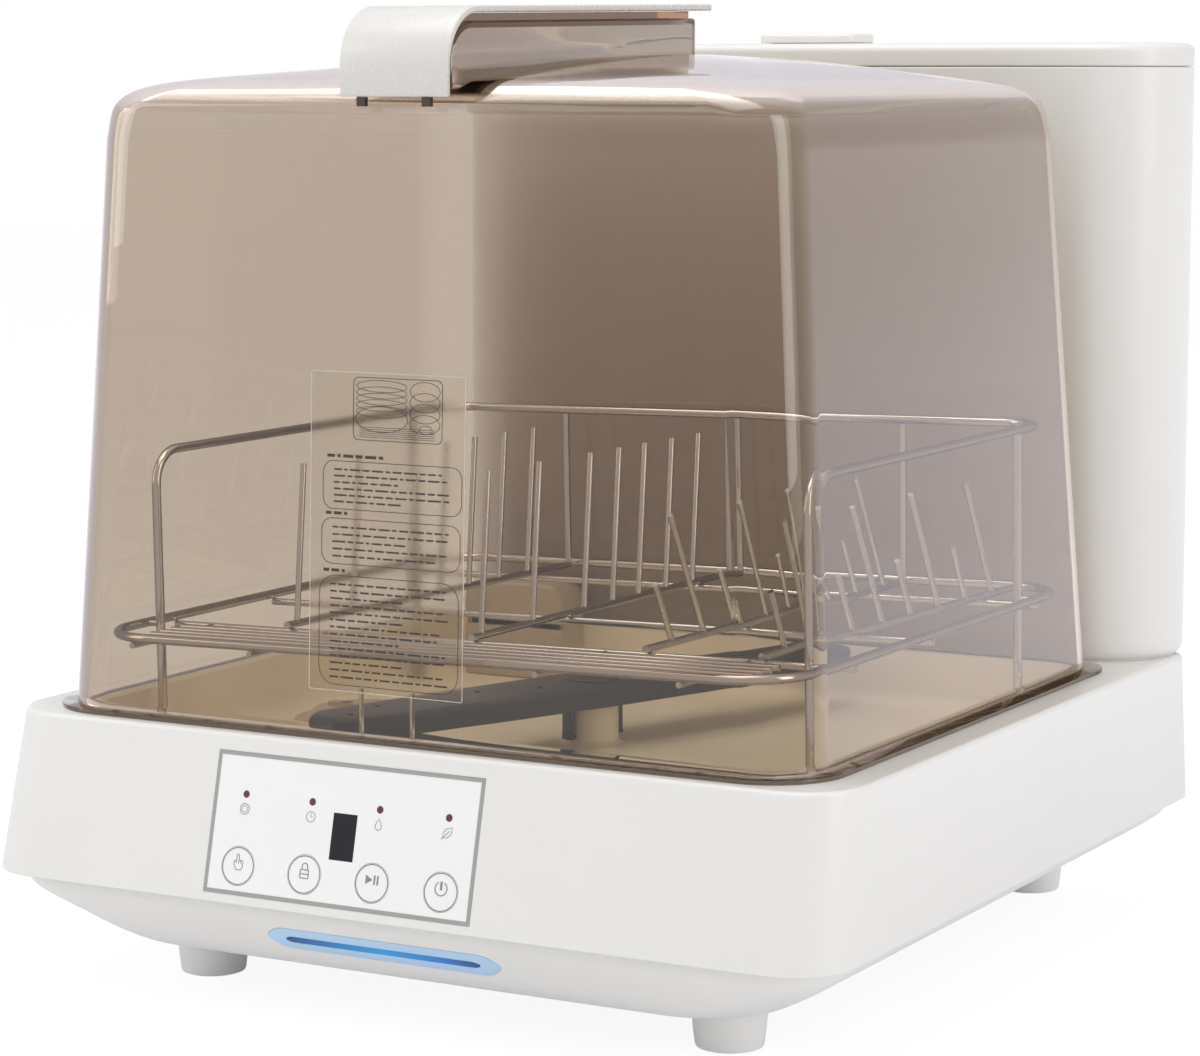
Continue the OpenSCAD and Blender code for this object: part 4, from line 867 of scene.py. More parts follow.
def merged(parts: Sequence[BMesh]) -> BMesh:
    """Puts several meshes into the first one.

    Args:
        parts: The meshes; all but the first are freed.

    Returns:
        The first mesh, with all the others in it.
    """
    whole = parts[0]
    for part in parts[1:]:
        carrier = bpy.data.meshes.new("carrier")
        part.to_mesh(carrier)
        part.free()
        whole.from_mesh(carrier)
        bpy.data.meshes.remove(carrier)
    return whole


def loose(name: str, bm: BMesh) -> bpy.types.Object:
    """Makes a bare object of a mesh and frees the mesh.

    Args:
        name: Its name.
        bm: The mesh.

    Returns:
        The object, linked to the scene.
    """
    mesh = bpy.data.meshes.new(name)
    bm.to_mesh(mesh)
    bm.free()
    made = bpy.data.objects.new(name, mesh)
    bpy.context.collection.objects.link(made)
    return made


def combined(body: BMesh, tools: Sequence[BMesh], how: Solid = Solid.CUT) -> BMesh:
    """Joins closed meshes to another or cuts them out of it.

    Args:
        body: The mesh to work on; it is freed.
        tools: The other meshes; they are freed.
        how: Whether they are joined or cut away.

    Returns:
        The new mesh.
    """
    target = loose("target", body)
    others = [loose(f"tool{i}", tool) for i, tool in enumerate(tools)]
    for other in others:
        step = target.modifiers.new("combine", "BOOLEAN")
        step.operation = how.value
        step.solver = "EXACT"
        step.object = other
    bpy.context.view_layer.update()
    graph = bpy.context.evaluated_depsgraph_get()
    result = bmesh.new()
    result.from_mesh(target.evaluated_get(graph).to_mesh())
    target.evaluated_get(graph).to_mesh_clear()
    for leftover in [target, *others]:
        mesh = leftover.data
        bpy.data.objects.remove(leftover)
        bpy.data.meshes.remove(mesh)
    bmesh.ops.remove_doubles(result, verts=result.verts, dist=2e-6)
    return result


def finish_piece(
    name: str, bm: BMesh, look: Look, body: str, replaces: Sequence[str] = (),
    sharp: float = 32.0,
) -> None:
    """Turns a mesh into a dressed piece that rides on a body.

    Args:
        name: The piece's name.
        bm: Its mesh, which is freed.
        look: Its finish.
        body: The body it rides on.
        replaces: CAD nodes that it stands for.
        sharp: Angle in degrees over which an edge stays sharp.
    """
    piece = loose(name, bm)
    mesh = piece.data
    mesh.polygons.foreach_set("use_smooth", [True] * len(mesh.polygons))
    mesh.set_sharp_from_angle(angle=math.radians(sharp))
    mesh.materials.append(look.material)
    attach(piece, body)
    if replaces:
        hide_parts(*replaces)
    LOG.info("piece %s on %s: %d faces", name, body, len(mesh.polygons))


class Ink:
    """Raised screen print on one flat face: local X to the right, Z up, and Y into the face."""

    # How deep the ink starts inside the printed face
    root = 0.02

    def __init__(self, surface: float = 0.0, depth: float = 0.08) -> None:
        """Starts an empty print.

        Args:
            surface: Local Y of the printed face, in millimetres.
            depth: Thickness of the ink in millimetres.
        """
        self.start = surface + self.root
        self.lift = (0, -(depth + self.root), 0)
        self.origin: Pair = (0.0, 0.0)
        self.parts: list[BMesh] = []

    def _on_face(self, points: Iterable[Pair]) -> list[tuple[float, float, float]]:
        """Gives the places on the face of X and Z pairs from the print's origin."""
        x0, z0 = self.origin
        return [(x0 + x, self.start, z0 + z) for x, z in points]

    def fill(self, *points: Pair) -> None:
        """Prints a filled shape through X and Z pairs."""
        self.parts.append(plate(self._on_face(points), self.lift))

    def dash(self, x: float, z: float, width: float, height: float) -> None:
        """Prints a filled bar about its middle."""
        w, h = width / 2, height / 2
        self.fill((x - w, z - h), (x + w, z - h), (x + w, z + h), (x - w, z + h))

    def line(self, points: Sequence[Pair], width: float = 0.35, closed: bool = False) -> None:
        """Prints a line of even width.

        Args:
            points: X and Z pairs along it.
            width: Its width in millimetres.
            closed: Whether it runs back to its start.
        """
        path = [Vector(place) * MM for place in self._on_face(points)]
        path += path[:1] if closed else []
        bm = bmesh.new()
        ends: list[bmesh.types.BMVert] = []
        edge = None
        for number, at in enumerate(path):
            last = number == len(path) - 1
            before = path[number - 1] if number else path[-2] if closed else at
            after = path[number + 1] if not last else path[1] if closed else at
            along = (after - before).normalized()
            side = Vector((along.z, 0, -along.x)) * width / 2 * MM
            if edge is None:
                ends = [bm.verts.new(at + side), bm.verts.new(at - side)]
                edge = bm.edges.new(ends)
                continue
            new = corners(bmesh.ops.extrude_edge_only(bm, edges=[edge])["geom"])
            new.sort(key=lambda vert: (vert.co - ends[0].co).length)
            new[0].co, new[1].co = at + side, at - side
            edge = next(e for e in new[0].link_edges if new[1] in e.verts)
            ends = new
        bmesh.ops.remove_doubles(bm, verts=bm.verts, dist=1e-7)
        self.parts.append(thickened(bm, self.lift))

    def arc(
        self, x: float, z: float, radius: float, width: float = 0.35, high: float = 1.0,
        start: float = 0.0, turn: float = 360.0,
    ) -> None:
        """Prints a circle, an ellipse or a part of one.

        Args:
            x: Middle, across.
            z: Middle, up.
            radius: Half its width in millimetres.
            width: Width of the line.
            high: Its height as a share of its width.
            start: Where it starts, in degrees from the right.
            turn: How far it runs, in degrees.
        """
        steps = max(8, round(turn / 10))
        whole = turn >= 360
        angles = [math.radians(start + turn * i / steps) for i in range(steps if whole else steps + 1)]
        path = [(x + radius * math.cos(a), z + radius * high * math.sin(a)) for a in angles]
        self.line(path, width, whole)

    def frame(self, x0: float, x1: float, z0: float, z1: float, radius: float, width: float = 0.3) -> None:
        """Prints a rounded box.

        Args:
            x0: Left side.
            x1: Right side.
            z0: Lower side.
            z1: Upper side.
            radius: Radius of its corners.
            width: Width of the line.
        """
        points = []
        for number, (x, z) in enumerate([(x1, z1), (x0, z1), (x0, z0), (x1, z0)]):
            cx = x - radius if x == x1 else x + radius
            cz = z - radius if z == z1 else z + radius
            for angle in (math.radians(90 * number + 15 * step) for step in range(7)):
                points.append((cx + radius * math.cos(angle), cz + radius * math.sin(angle)))
        self.line(points, width, True)

    def greek(self, x0: float, x1: float, z: float, height: float, shift: int = 0) -> None:
        """Prints a row of dashes in place of words.

        Args:
            x0: Where the row starts.
            x1: Where it ends.
            z: Its middle height.
            height: Height of the dashes.
            shift: Which length comes first.
        """
        lengths = (3.4, 5.6, 2.2, 4.4, 6.4, 2.8, 3.8, 1.6, 5.0)
        gap = 1.3
        length = lengths[shift % len(lengths)]
        while x0 + length <= x1:
            self.dash(x0 + length / 2, z, length, height)
            x0 += length + gap
            shift += 1
            length = lengths[shift % len(lengths)]

    def done(self, place: Matrix) -> BMesh:
        """Gives the whole print as one mesh, moved onto its face."""
        return moved(merged(self.parts), place)


# ---------------------------------------------------------------- casing


@dataclass
class SlopingFace:
    """The leaning front of the casing, with the panel's middle as its origin."""

    skirt_front: float = -212.0
    skirt_z: float = 52.0
    deck_z: float = 123.5
    lean: float = 17.0
    left: float = 20.0
    along: float = 35.0

    @property
    def place(self) -> Matrix:
        """Takes the panel's own frame to the machine's.

        Returns:
            The matrix, for meshes in metres.
        """
        angle = math.atan(self.lean / (self.deck_z - self.skirt_z))
        y = self.skirt_front + self.along * math.sin(angle)
        z = self.skirt_z + self.along * math.cos(angle)
        return placed((-self.left, y, z), -angle, "X")


@dataclass
class Casing:
    """White upper casing, belly tray and feet."""

    half_w: float = 210.0
    half_d: float = 212.0
    skirt_z: float = 52.0
    deck_z: float = 123.5
    lean: float = 17.0
    side_lean: float = 3.0
    front_r: float = 28.0
    rear_r: float = 12.0
    wall: float = 3.0
    edge_r: float = 2.4
    tub: Outline = Outline(96.0, -177.5, 177.5, -179.5, 139.5, 22.5, 22.5)
    tank_foot: Outline = Outline(113.7, -184.0, 204.0, 159.0, 208.0, 39.0, 9.0)
    tank_pan_z: float = 110.7
    clear_z: float = 140.0
    socket_r: float = 16.1
    panel_size: Pair = (134.2, 61.7)
    window_size: Pair = (122.0, 45.2)
    window_drop: float = 5.6
    belly_z: float = 18.5
    belly_wall: float = 2.5
    spigot: Pair = (-150.0, 36.0)
    spigot_r: float = 13.5
    lead: Pair = (100.0, 36.0)
    lead_r: float = 7.1
    # From the rim down: share of the drop, then insets of side, front and rear, and the corners' radius
    belly_shape: tuple[tuple[float, float, float, float, float], ...] = (
        (0.209, 10.98, 10.64, 3.3, 26.0),
        (0.373, 17.92, 14.64, 3.3, 28.0),
        (0.567, 28.0, 19.32, 3.4, 32.0),
        (0.746, 38.75, 23.68, 3.6, 34.0),
        (0.896, 48.05, 30.0, 4.0, 36.0),
        (1.0, 56.0, 40.0, 5.5, 36.0),
    )
    foot_xs: Pair = (-132, 132)
    foot_ys: Pair = (-140, 193)
    face: SlopingFace = field(default_factory=SlopingFace)

    def _row(self, z: float, more: float = 0.0) -> Outline:
        """Gives the casing's outline at a height.

        Args:
            z: The height.
            more: Distance that it is moved in.

        Returns:
            The outline.
        """
        part = (z - self.skirt_z) / (self.deck_z - self.skirt_z)
        return Outline(
            z,
            -self.half_w + self.side_lean * part + more,
            self.half_w - self.side_lean * part - more,
            -self.half_d + self.lean * part + more,
            self.half_d - part - more,
            self.front_r - more,
            max(self.rear_r - more, 2.0),
        )

    def _rows(self, *places: Pair) -> list[Outline]:
        """Gives the casing's outlines for pairs of height over the skirt and inset."""
        return [self._row(self.skirt_z + up, more) for up, more in places]

    def _socket(self) -> BMesh:
        """Gives the cutter of the hole that the tank's socket stands in."""
        return rod(self.socket_r, 100, 118, SOCKET_PLACE)

    def upper(self) -> None:
        """Builds the upper casing with its openings."""
        first, *skirt = self._rows((0, 1.2), (0.1, 0.6), (0.5, 0.1), (1.2, 0))
        edge = self._row(self.deck_z - self.edge_r)
        skin = Loft(first, 18).to(*skirt, edge, *rounding(edge, self.edge_r, self.edge_r, 6))
        under, ledge = self.wall, self.wall + 2
        low, *high = self._rows((-2, under), (5.3, under), (5.4, ledge))
        hollow = Loft(low, 10).to(*high, self._row(self.deck_z - 3.0, ledge))
        (panel_w, panel_h), (window_w, window_h) = self.panel_size, self.window_size
        pocket = moved(block((panel_w, 6.0, panel_h), (0, -2.2, 0)), self.face.place)
        window = moved(block((window_w, 8.0, window_h), (0, 3.0, -self.window_drop)), self.face.place)
        openings = [Loft(plan, 10).to(plan.inset(0, self.clear_z)) for plan in (self.tub, self.tank_foot)]
        tools = [hollow.close(), *[o.close() for o in openings], pocket, window, self._socket()]
        shell = combined(skin.close(), tools)
        floor = self.tank_foot.inset(-0.2, self.tank_pan_z)
        pan = Loft(floor, 10).to(floor.inset(0, self.tank_foot.z)).close()
        whole = merged([shell, combined(pan, [self._socket()])])
        finish_piece("upper_casing", whole, Look.CASING, "base", ["base_shell"], 28)

    def belly_rows(self, wall: float = 0.0) -> list[Outline]:
        """Gives the belly's outlines from its rim down to the flat underside.

        Args:
            wall: Distance to move in, for the inner face.

        Returns:
            The outlines.
        """
        drop = self.skirt_z - self.belly_z
        rim = (self.skirt_z + 2.0, 7.0, 8.0, 3.3, 24.0)
        table = [rim] + [(self.skirt_z - drop * part + wall, *rest) for part, *rest in self.belly_shape]
        rows = [
            Outline(
                z,
                -self.half_w + side + wall,
                self.half_w - side - wall,
                -self.half_d + front + wall,
                self.half_d - rear - wall,
                radius - wall * 0.5,
                self.rear_r - wall * 0.5,
            )
            for z, side, front, rear, radius in table
        ]
        return refined(rows)

    def _spigot_bores(self) -> list[BMesh]:
        """Gives the cutters of the drain outlet's place."""
        return [rod_y(self.spigot_r, 190.0, 214.0, *self.spigot), rod_y(6.6, 180.0, 200.0, *self.spigot)]

    def belly(self) -> None:
        """Builds the belly tray with the places for light strip, spigot, lead and screws."""
        outer = self.belly_rows()
        inner = self.belly_rows(self.belly_wall)
        solid = Loft(outer[0], 18).to(*outer[1:], outer[-1].inset(1.2))
        hollow = Loft(inner[0].inset(0, inner[0].z + 4), 14).to(*inner)
        lead = rod_y(self.lead_r, 198.0, 214.0, *self.lead)
        wells = [rod(4.5, 0, 44, place, 24) for place in SCREW_PLACES]
        tools = [hollow.close(), LightStrip().cutter(), *self._spigot_bores(), lead, *wells]
        tray = combined(solid.close(), tools)
        cup = combined(rod_y(self.spigot_r + 2, 187.0, 208.4, *self.spigot), self._spigot_bores())
        finish_piece("belly", merged([tray, cup]), Look.CASING, "base", ["belly_tray"], 30)

    def feet(self) -> None:
        """Turns the four rubber feet."""
        profile = [
            (0, 6.0), (4.4, 6.0), (4.8, 5.6), (4.8, 0.6), (5.4, 0.0), (13.2, 0.0), (14.3, 0.4), (14.8, 1.4),
            (15.6, 8.0), (16.3, 16.6), (16.5, 18.0), (16.0, 18.5), (0, 18.5),
        ]
        for end, y in zip(("front", "rear"), self.foot_ys):
            for side, x in zip(("left", "right"), self.foot_xs):
                node = f"foot_{end}_{side}"
                finish_piece(f"{node}_rubber", spun(profile, (x, y)), Look.FOOT, "base", [node], 40)


@dataclass
class LightStrip:
    """Frosted pad on the belly's front slope, with the lit bar in it."""

    x: float = -6.0
    width: float = 120.0
    height: float = 13.0
    end: float = 8.0
    bar_w: float = 99.0
    bar_h: float = 3.4
    bar_end: float = 3.0
    front: float = -212.0
    # Height of the slope's upper and lower end, and how far each lies behind the front
    upper: Pair = (45.0, 10.64)
    lower: Pair = (27.009, 23.68)
    sunk: float = 0.5

    @property
    def place(self) -> Matrix:
        """Takes the strip's own frame to the machine's.

        Returns:
            The matrix, for meshes in metres.
        """
        (top, near), (low, far) = self.upper, self.lower
        tilt = math.atan((far - near) / (top - low))
        z = (top + low) / 2 - self.sunk
        inset = near + (top - z) * math.tan(tilt) - self.sunk
        return placed((self.x, self.front + inset, z), tilt, "X")

    def _lozenge(self, w: float, h: float, y0: float, y1: float, end: float) -> BMesh:
        """Makes a plate with blunt pointed ends.

        Args:
            w: Its width.
            h: Its height.
            y0: Depth of its face.
            y1: Depth of its back.
            end: Length of each point.

        Returns:
            The closed mesh, on the belly's slope.
        """
        tip, side, up = w / 2, w / 2 - end, h / 2
        points = [
            (-tip, y0, 0), (-side, y0, -up), (side, y0, -up), (tip, y0, 0), (side, y0, up), (-side, y0, up),
        ]
        bm = plate(points, (0, y1 - y0, 0))
        return moved(rounded(bm, along_y(bm), min(h, 8.0) * 0.42, 6), self.place)

    def cutter(self) -> BMesh:
        """Gives the shape that the pad's place is cut with."""
        return self._lozenge(self.width + 0.2, self.height + 0.2, -8, 8, self.end)

    def build(self) -> None:
        """Builds the pad and the lit bar."""
        pad = soften(self._lozenge(self.width, self.height, 0.0, 3.0, self.end), 0.5, 2, 60)
        finish_piece("light_pad_frosted", pad, Look.LIGHT_PAD, "base", ["light_pad"], 35)
        bar = self._lozenge(self.bar_w, self.bar_h, -0.25, 2.9, self.bar_end)
        finish_piece("light_bar_lens", bar, Look.LIGHT_BAR, "base", ["light_bar"], 35)


@dataclass
class PanelPrint:
    """Rings and symbols of the touch keys, and a small symbol under each lamp."""

    middle: float = 0.5
    pitch: float = 34.0
    key_z: float = -18.2
    symbol_z: float = 6.4
    ring_r: float = 7.9
    mark_up: float = 1.4
    face: SlopingFace = field(default_factory=SlopingFace)

    def x(self, number: int) -> float:
        """Gives a key's or lamp's place across."""
        return self.middle + self.pitch * (number - 1.5)

    def select(self, ink: Ink) -> None:
        """Prints a pointing hand.

        Args:
            ink: The print, with its origin in the key's middle.
        """
        hand = [
            (-1.0, -3.0), (-2.1, -1.0), (-2.3, 0.6), (-1.7, 0.9), (-1.0, -0.2), (-1.0, 3.2), (-0.4, 3.8),
            (0.2, 3.2), (0.2, 1.2), (1.2, 1.1), (2.1, 0.8), (2.3, 0.1), (2.2, -1.6), (1.6, -3.0),
        ]
        ink.line(hand, 0.4, True)
        for x in (0.2, 1.2):
            ink.line([(x, 1.2), (x, -0.3)], 0.35)

    def lock(self, ink: Ink) -> None:
        """Prints a padlock.

        Args:
            ink: The print, with its origin in the key's middle.
        """
        width = 0.45
        ink.frame(-2.1, 2.1, -3.0, 0.6, 0.4, width)
        ink.line([(-2.1, -1.2), (2.1, -1.2)], width)
        for x in (-1.4, 1.4):
            ink.line([(x, 0.6), (x, 1.8)], width)
        ink.arc(0, 1.8, 1.4, width, 1.2, 0.0, 180.0)

    def start(self, ink: Ink) -> None:
        """Prints a triangle and two bars.

        Args:
            ink: The print, with its origin in the key's middle.
        """
        ink.fill((-3.2, -2.0), (0.2, 0), (-3.2, 2.0))
        for x in (1.2, 2.8):
            ink.dash(x, 0, 0.8, 4.0)

    def power(self, ink: Ink) -> None:
        """Prints the open ring with its bar."""
        ink.arc(0, 0, 2.9, 0.5, 1.0, 120.0, 300.0)
        ink.dash(0, 1.2, 1.1, 3.6)

    def keys(self) -> None:
        """Prints each key's ring and symbol; they move with the key."""
        symbols = {
            "key_select": self.select,
            "key_lock": self.lock,
            "key_start": self.start,
            "key_power": self.power,
        }
        for number, (body, symbol) in enumerate(symbols.items()):
            ring, mark = Ink(), Ink()
            ring.arc(self.x(number), self.key_z, self.ring_r, 0.32)
            mark.origin = (self.x(number), self.key_z + self.mark_up)
            symbol(mark)
            finish_piece(f"{body}_ring", ring.done(self.face.place), Look.PRINT_DARK, body)
            finish_piece(f"{body}_mark", mark.done(self.face.place), Look.PRINT_MID, body)

    def lamps(self) -> None:
        """Prints a plate, a clock, a drop and a leaf under the lamps."""
        drop = [
            (0, 2.6), (1.1, 0.8), (1.6, -0.6), (1.1, -1.8), (0, -2.3), (-1.1, -1.8), (-1.6, -0.6),
            (-1.1, 0.8),
        ]
        leaf = [(-2.2, -2.2), (-2.0, 0.2), (-0.6, 1.8), (2.2, 2.4), (1.8, -0.4), (0.2, -1.9)]
        plate_at, clock_at, drop_at, leaf_at = [(self.x(number), self.symbol_z) for number in range(4)]
        ink = Ink()
        ink.origin = plate_at
        ink.arc(0, 0, 2.3, 0.3)
        ink.arc(0, 0, 1.4, 0.25)
        ink.origin = clock_at
        ink.arc(0, 0, 2.2, 0.3)
        ink.line([(0, 1.4), (0, 0), (1.0, 0)], 0.3)
        ink.origin = drop_at
        ink.line(drop, 0.3, True)
        ink.origin = leaf_at
        ink.line(leaf, 0.3, True)
        ink.line([(-2.8, -2.8), (1.0, 1.0)], 0.3)
        finish_piece("lamp_symbols", ink.done(self.face.place), Look.PRINT_MID, "base")


# ---------------------------------------------------------------- tank


@dataclass
class Tank:
    """White rear water tank with its cover and filler cap."""

    plan: Outline = Outline(0.0, -187.0, 207.0, 156.0, 211.0, 42.0, 12.0)
    cap: Outline = Outline(0.0, -12.0, 40.0, 170.5, 200.5, 5.0, 5.0)
    neck: Pair = (14.0, 185.5)
    seam_z: float = 409.0
    cover_z: float = 416.0

    def _rows(self, *places: Pair) -> list[Outline]:
        """Gives the tank's outlines for pairs of height and inset."""
        return [self.plan.inset(by, z) for z, by in places]

    def body(self) -> None:
        """Builds the tank's walls and floor: up inside, over the rim and down to the narrower foot."""
        first, *rest = self._rows(
            (116.5, 30.0), (116.5, 6.0), (self.seam_z, 2.5), (self.seam_z, 0.6), (self.seam_z - 0.6, 0.0),
            (132.0, 0.0), (129.3, 0.1), (127.6, 0.6), (126.0, 1.6), (124.8, 2.8), (124.3, 3.3), (123.4, 3.5),
            (114.8, 3.5), (114.0, 4.4), (114.0, 27.0),
        )
        skin = Loft(first, 18).to(*rest)
        finish_piece("tank_walls", skin.close(), Look.CASING, "tank", ["tank_body"], 30)

    def cover(self) -> None:
        """Builds the cover, with a shadow line over the seam."""
        seam = self.seam_z
        first, *rest, edge, top, low, high = self._rows(
            (seam - 6, 2.8), (seam + 0.3, 2.8), (seam + 0.35, 0.7), (seam + 1.0, 0.0), (self.cover_z, 0.0),
            (seam + 11.5, 9.0), (seam - 9, 5.5), (seam + 6.0, 5.5),
        )
        solid = Loft(first, 18).to(*rest, edge, *rounding(edge, 4.5, 4.3, 7), top)
        neck = block((42.0, 20.0, 30.0), (*self.neck, seam + 10))
        lid = combined(solid.close(), [Loft(low, 10).to(high).close(), neck])
        finish_piece("tank_lid", lid, Look.LID, "tank", ["tank_cover"], 30)

    def filler(self) -> None:
        """Builds the filler cap block."""
        foot, under, edge_z = self.seam_z + 6.5, self.seam_z + 11.8, self.seam_z + 14.6
        places = [
            (8, foot), (5.6, foot), (5.6, under), (0.6, under), (0.1, under + 0.4), (0, under + 1.2),
            (0, edge_z),
        ]
        first, *rest = [self.cap.inset(by, z) for by, z in places]
        skin = Loft(first, 10).to(*rest, *rounding(rest[-1], 2.0, 1.9))
        finish_piece("filler_block", skin.close(), Look.CASING, "filler", ["filler_cap"], 30)


# ---------------------------------------------------------------- wash tub


@dataclass
class WashTub:
    """Cream tub with its hub, and the beige tower that stands in it."""

    plan: Outline = Outline(98.0, -177.0, 177.0, -179.0, 139.0, 22.0, 22.0)
    lip: Outline = Outline(124.9, -182.6, 182.6, -181.1, 141.1, 24.1, 24.1)
    under_z: float = 95.5
    deck_z: float = 123.5
    wall: float = 2.5
    filter_r: float = 31.5
    bore_r: float = 4.0
    tower_xs: Pair = (-150.0, -92.0)
    tower_ys: Pair = (113.5, 136.5)
    tower_zs: Pair = (98.1, 147.0)
    tower_wall: float = 3.0

    def tub(self) -> None:
        """Builds the tub's walls and floor with a rolled foot and the hub."""
        plan, lip, deck = self.plan, self.lip, self.deck_z
        inner = plan.inset(self.wall)
        foot = inner.inset(0.4, 106.0)
        skin = Loft(plan.inset(40, self.under_z), 16).to(
            plan.inset(3.0, self.under_z),
            plan.inset(0.8, 96.2),
            plan,
            plan.inset(0, deck + 0.1),
            lip.inset(0.2, deck + 0.1),
            lip.inset(0, deck + 0.5),
            lip.inset(0.3, deck + 1.2),
            lip.inset(0.8),
            inner.inset(-1.2, lip.z),
            inner.inset(-0.3, deck + 1.0),
            inner.inset(0, deck + 0.2),
            foot,
            *rounding(foot, 8.0, -7.9, 8),
            inner.inset(60, plan.z),
        )
        hole = rod(self.filter_r, 90, 104, FILTER_PLACE)
        shell = combined(skin.close(), [hole, rod(self.bore_r, 80, 130, HUB_PLACE, 24)])
        hub = spun(
            [
                (self.bore_r, 97.0), (15.0, 97.9), (13.2, 98.6), (12.1, 100.0), (12.0, 115.6), (11.6, 116.0),
                (6.0, 116.0), (6.0, 123.4), (5.4, 124.0), (self.bore_r, 124.0), (self.bore_r, 97.0),
            ],
            HUB_PLACE,
        )
        tube = [(2.1, 70.2), (6.5, 70.2), (6.5, 95.6), (2.1, 95.6), (2.1, 70.2)]
        whole = merged([shell, hub, *[spun(tube, place, 24) for place in SCREW_PLACES]])
        finish_piece("tub_shell", whole, Look.TUB, "base", ["wash_tub"], 35)

    def tower(self) -> None:
        """Builds the water inlet tower at the rear left."""
        (x0, x1), (y0, y1), (z0, z1) = self.tower_xs, self.tower_ys, self.tower_zs
        middle, twice = (x0 + x1) / 2, 2 * self.tower_wall
        body = plate([(x0, y0, z0), (x1, y0, z0), (x1, y0, z1), (x0, y0, z1)], (0, y1 - y0, 0))
        soften(rounded(body, along_y(body, 140), 9, 8), 1.6, 4, 50)
        hollow = block((x1 - x0 - twice, y1 - y0 - twice, 45.0), (middle, (y0 + y1) / 2, 119.0))
        slot = block((x1 - x0 + 4, twice, 3.0), (middle, y0, 126.0))
        tower = combined(body, [hollow, slot])
        finish_piece("inlet_block", tower, Look.BEIGE, "base", ["inlet_tower"], 35)


# ---------------------------------------------------------------- spray arm


@dataclass
class SprayArm:
    """Dark hollow blade on the hub, with nozzles and two snap legs."""

    half: float = 155.0
    width: float = 42.0
    z0: float = 118.0
    height: float = 10.0
    yaw: float = 69.0
    nozzle_xs: tuple[float, ...] = (36, 64, 92, 120, 142)
    nozzle_y: float = 5.0
    nozzle_r: float = 1.6
    bore_r: float = 6.05
    rim_r: float = 3.2

    def build(self) -> None:
        """Builds the arm, swelling at the hub and slimming to rounded tips."""
        w = self.width / 2
        tip = w * 0.72
        end = [(self.half, tip * 0.55), (self.half - tip * 0.5, tip), (self.half * 0.45, w * 0.93)]
        rear = [(-x, y) for x, y in end] + [(0, w)] + end[::-1]
        edge = [(x, -y, self.z0) for x, y in rear] + [(x, y, self.z0) for x, y in rear[::-1]]
        blade = plate(edge, (0, 0, self.height))
        top = (self.z0 + self.height) * MM - 1e-6
        rounded(blade, [e for e in blade.edges if all(v.co.z > top for v in e.verts)], self.rim_r, 5)
        nozzles = [
            rod(self.nozzle_r, 124, 132, (side * x, side * self.nozzle_y * (1 if i % 2 == 0 else -1)), 16)
            for side in (-1, 1)
            for i, x in enumerate(self.nozzle_xs)
        ]
        arm = combined(blade, [rod(self.bore_r, 100, 124.6, steps=32), *nozzles])
        crown = spun([(0, 127.6), (13.0, 127.6), (13.0, 128.4), (12.2, 129.0), (0, 129.0)], steps=32)
        legs = [block((3.0, 6.0, 18.0), (side * 14.5, 0, 109.8), 0.5) for side in (-1, 1)]
        hooks = [block((4.4, 6.0, 2.4), (side * 14.2, 0, 102.0), 0.6) for side in (-1, 1)]
        turn = placed((*HUB_PLACE, 0), math.radians(self.yaw), "Z")
        whole = moved(merged([arm, crown, *legs, *hooks]), turn)
        finish_piece("spray_blade", whole, Look.ARM, "spray", ["spray_arm"], 35)


# ---------------------------------------------------------------- hood


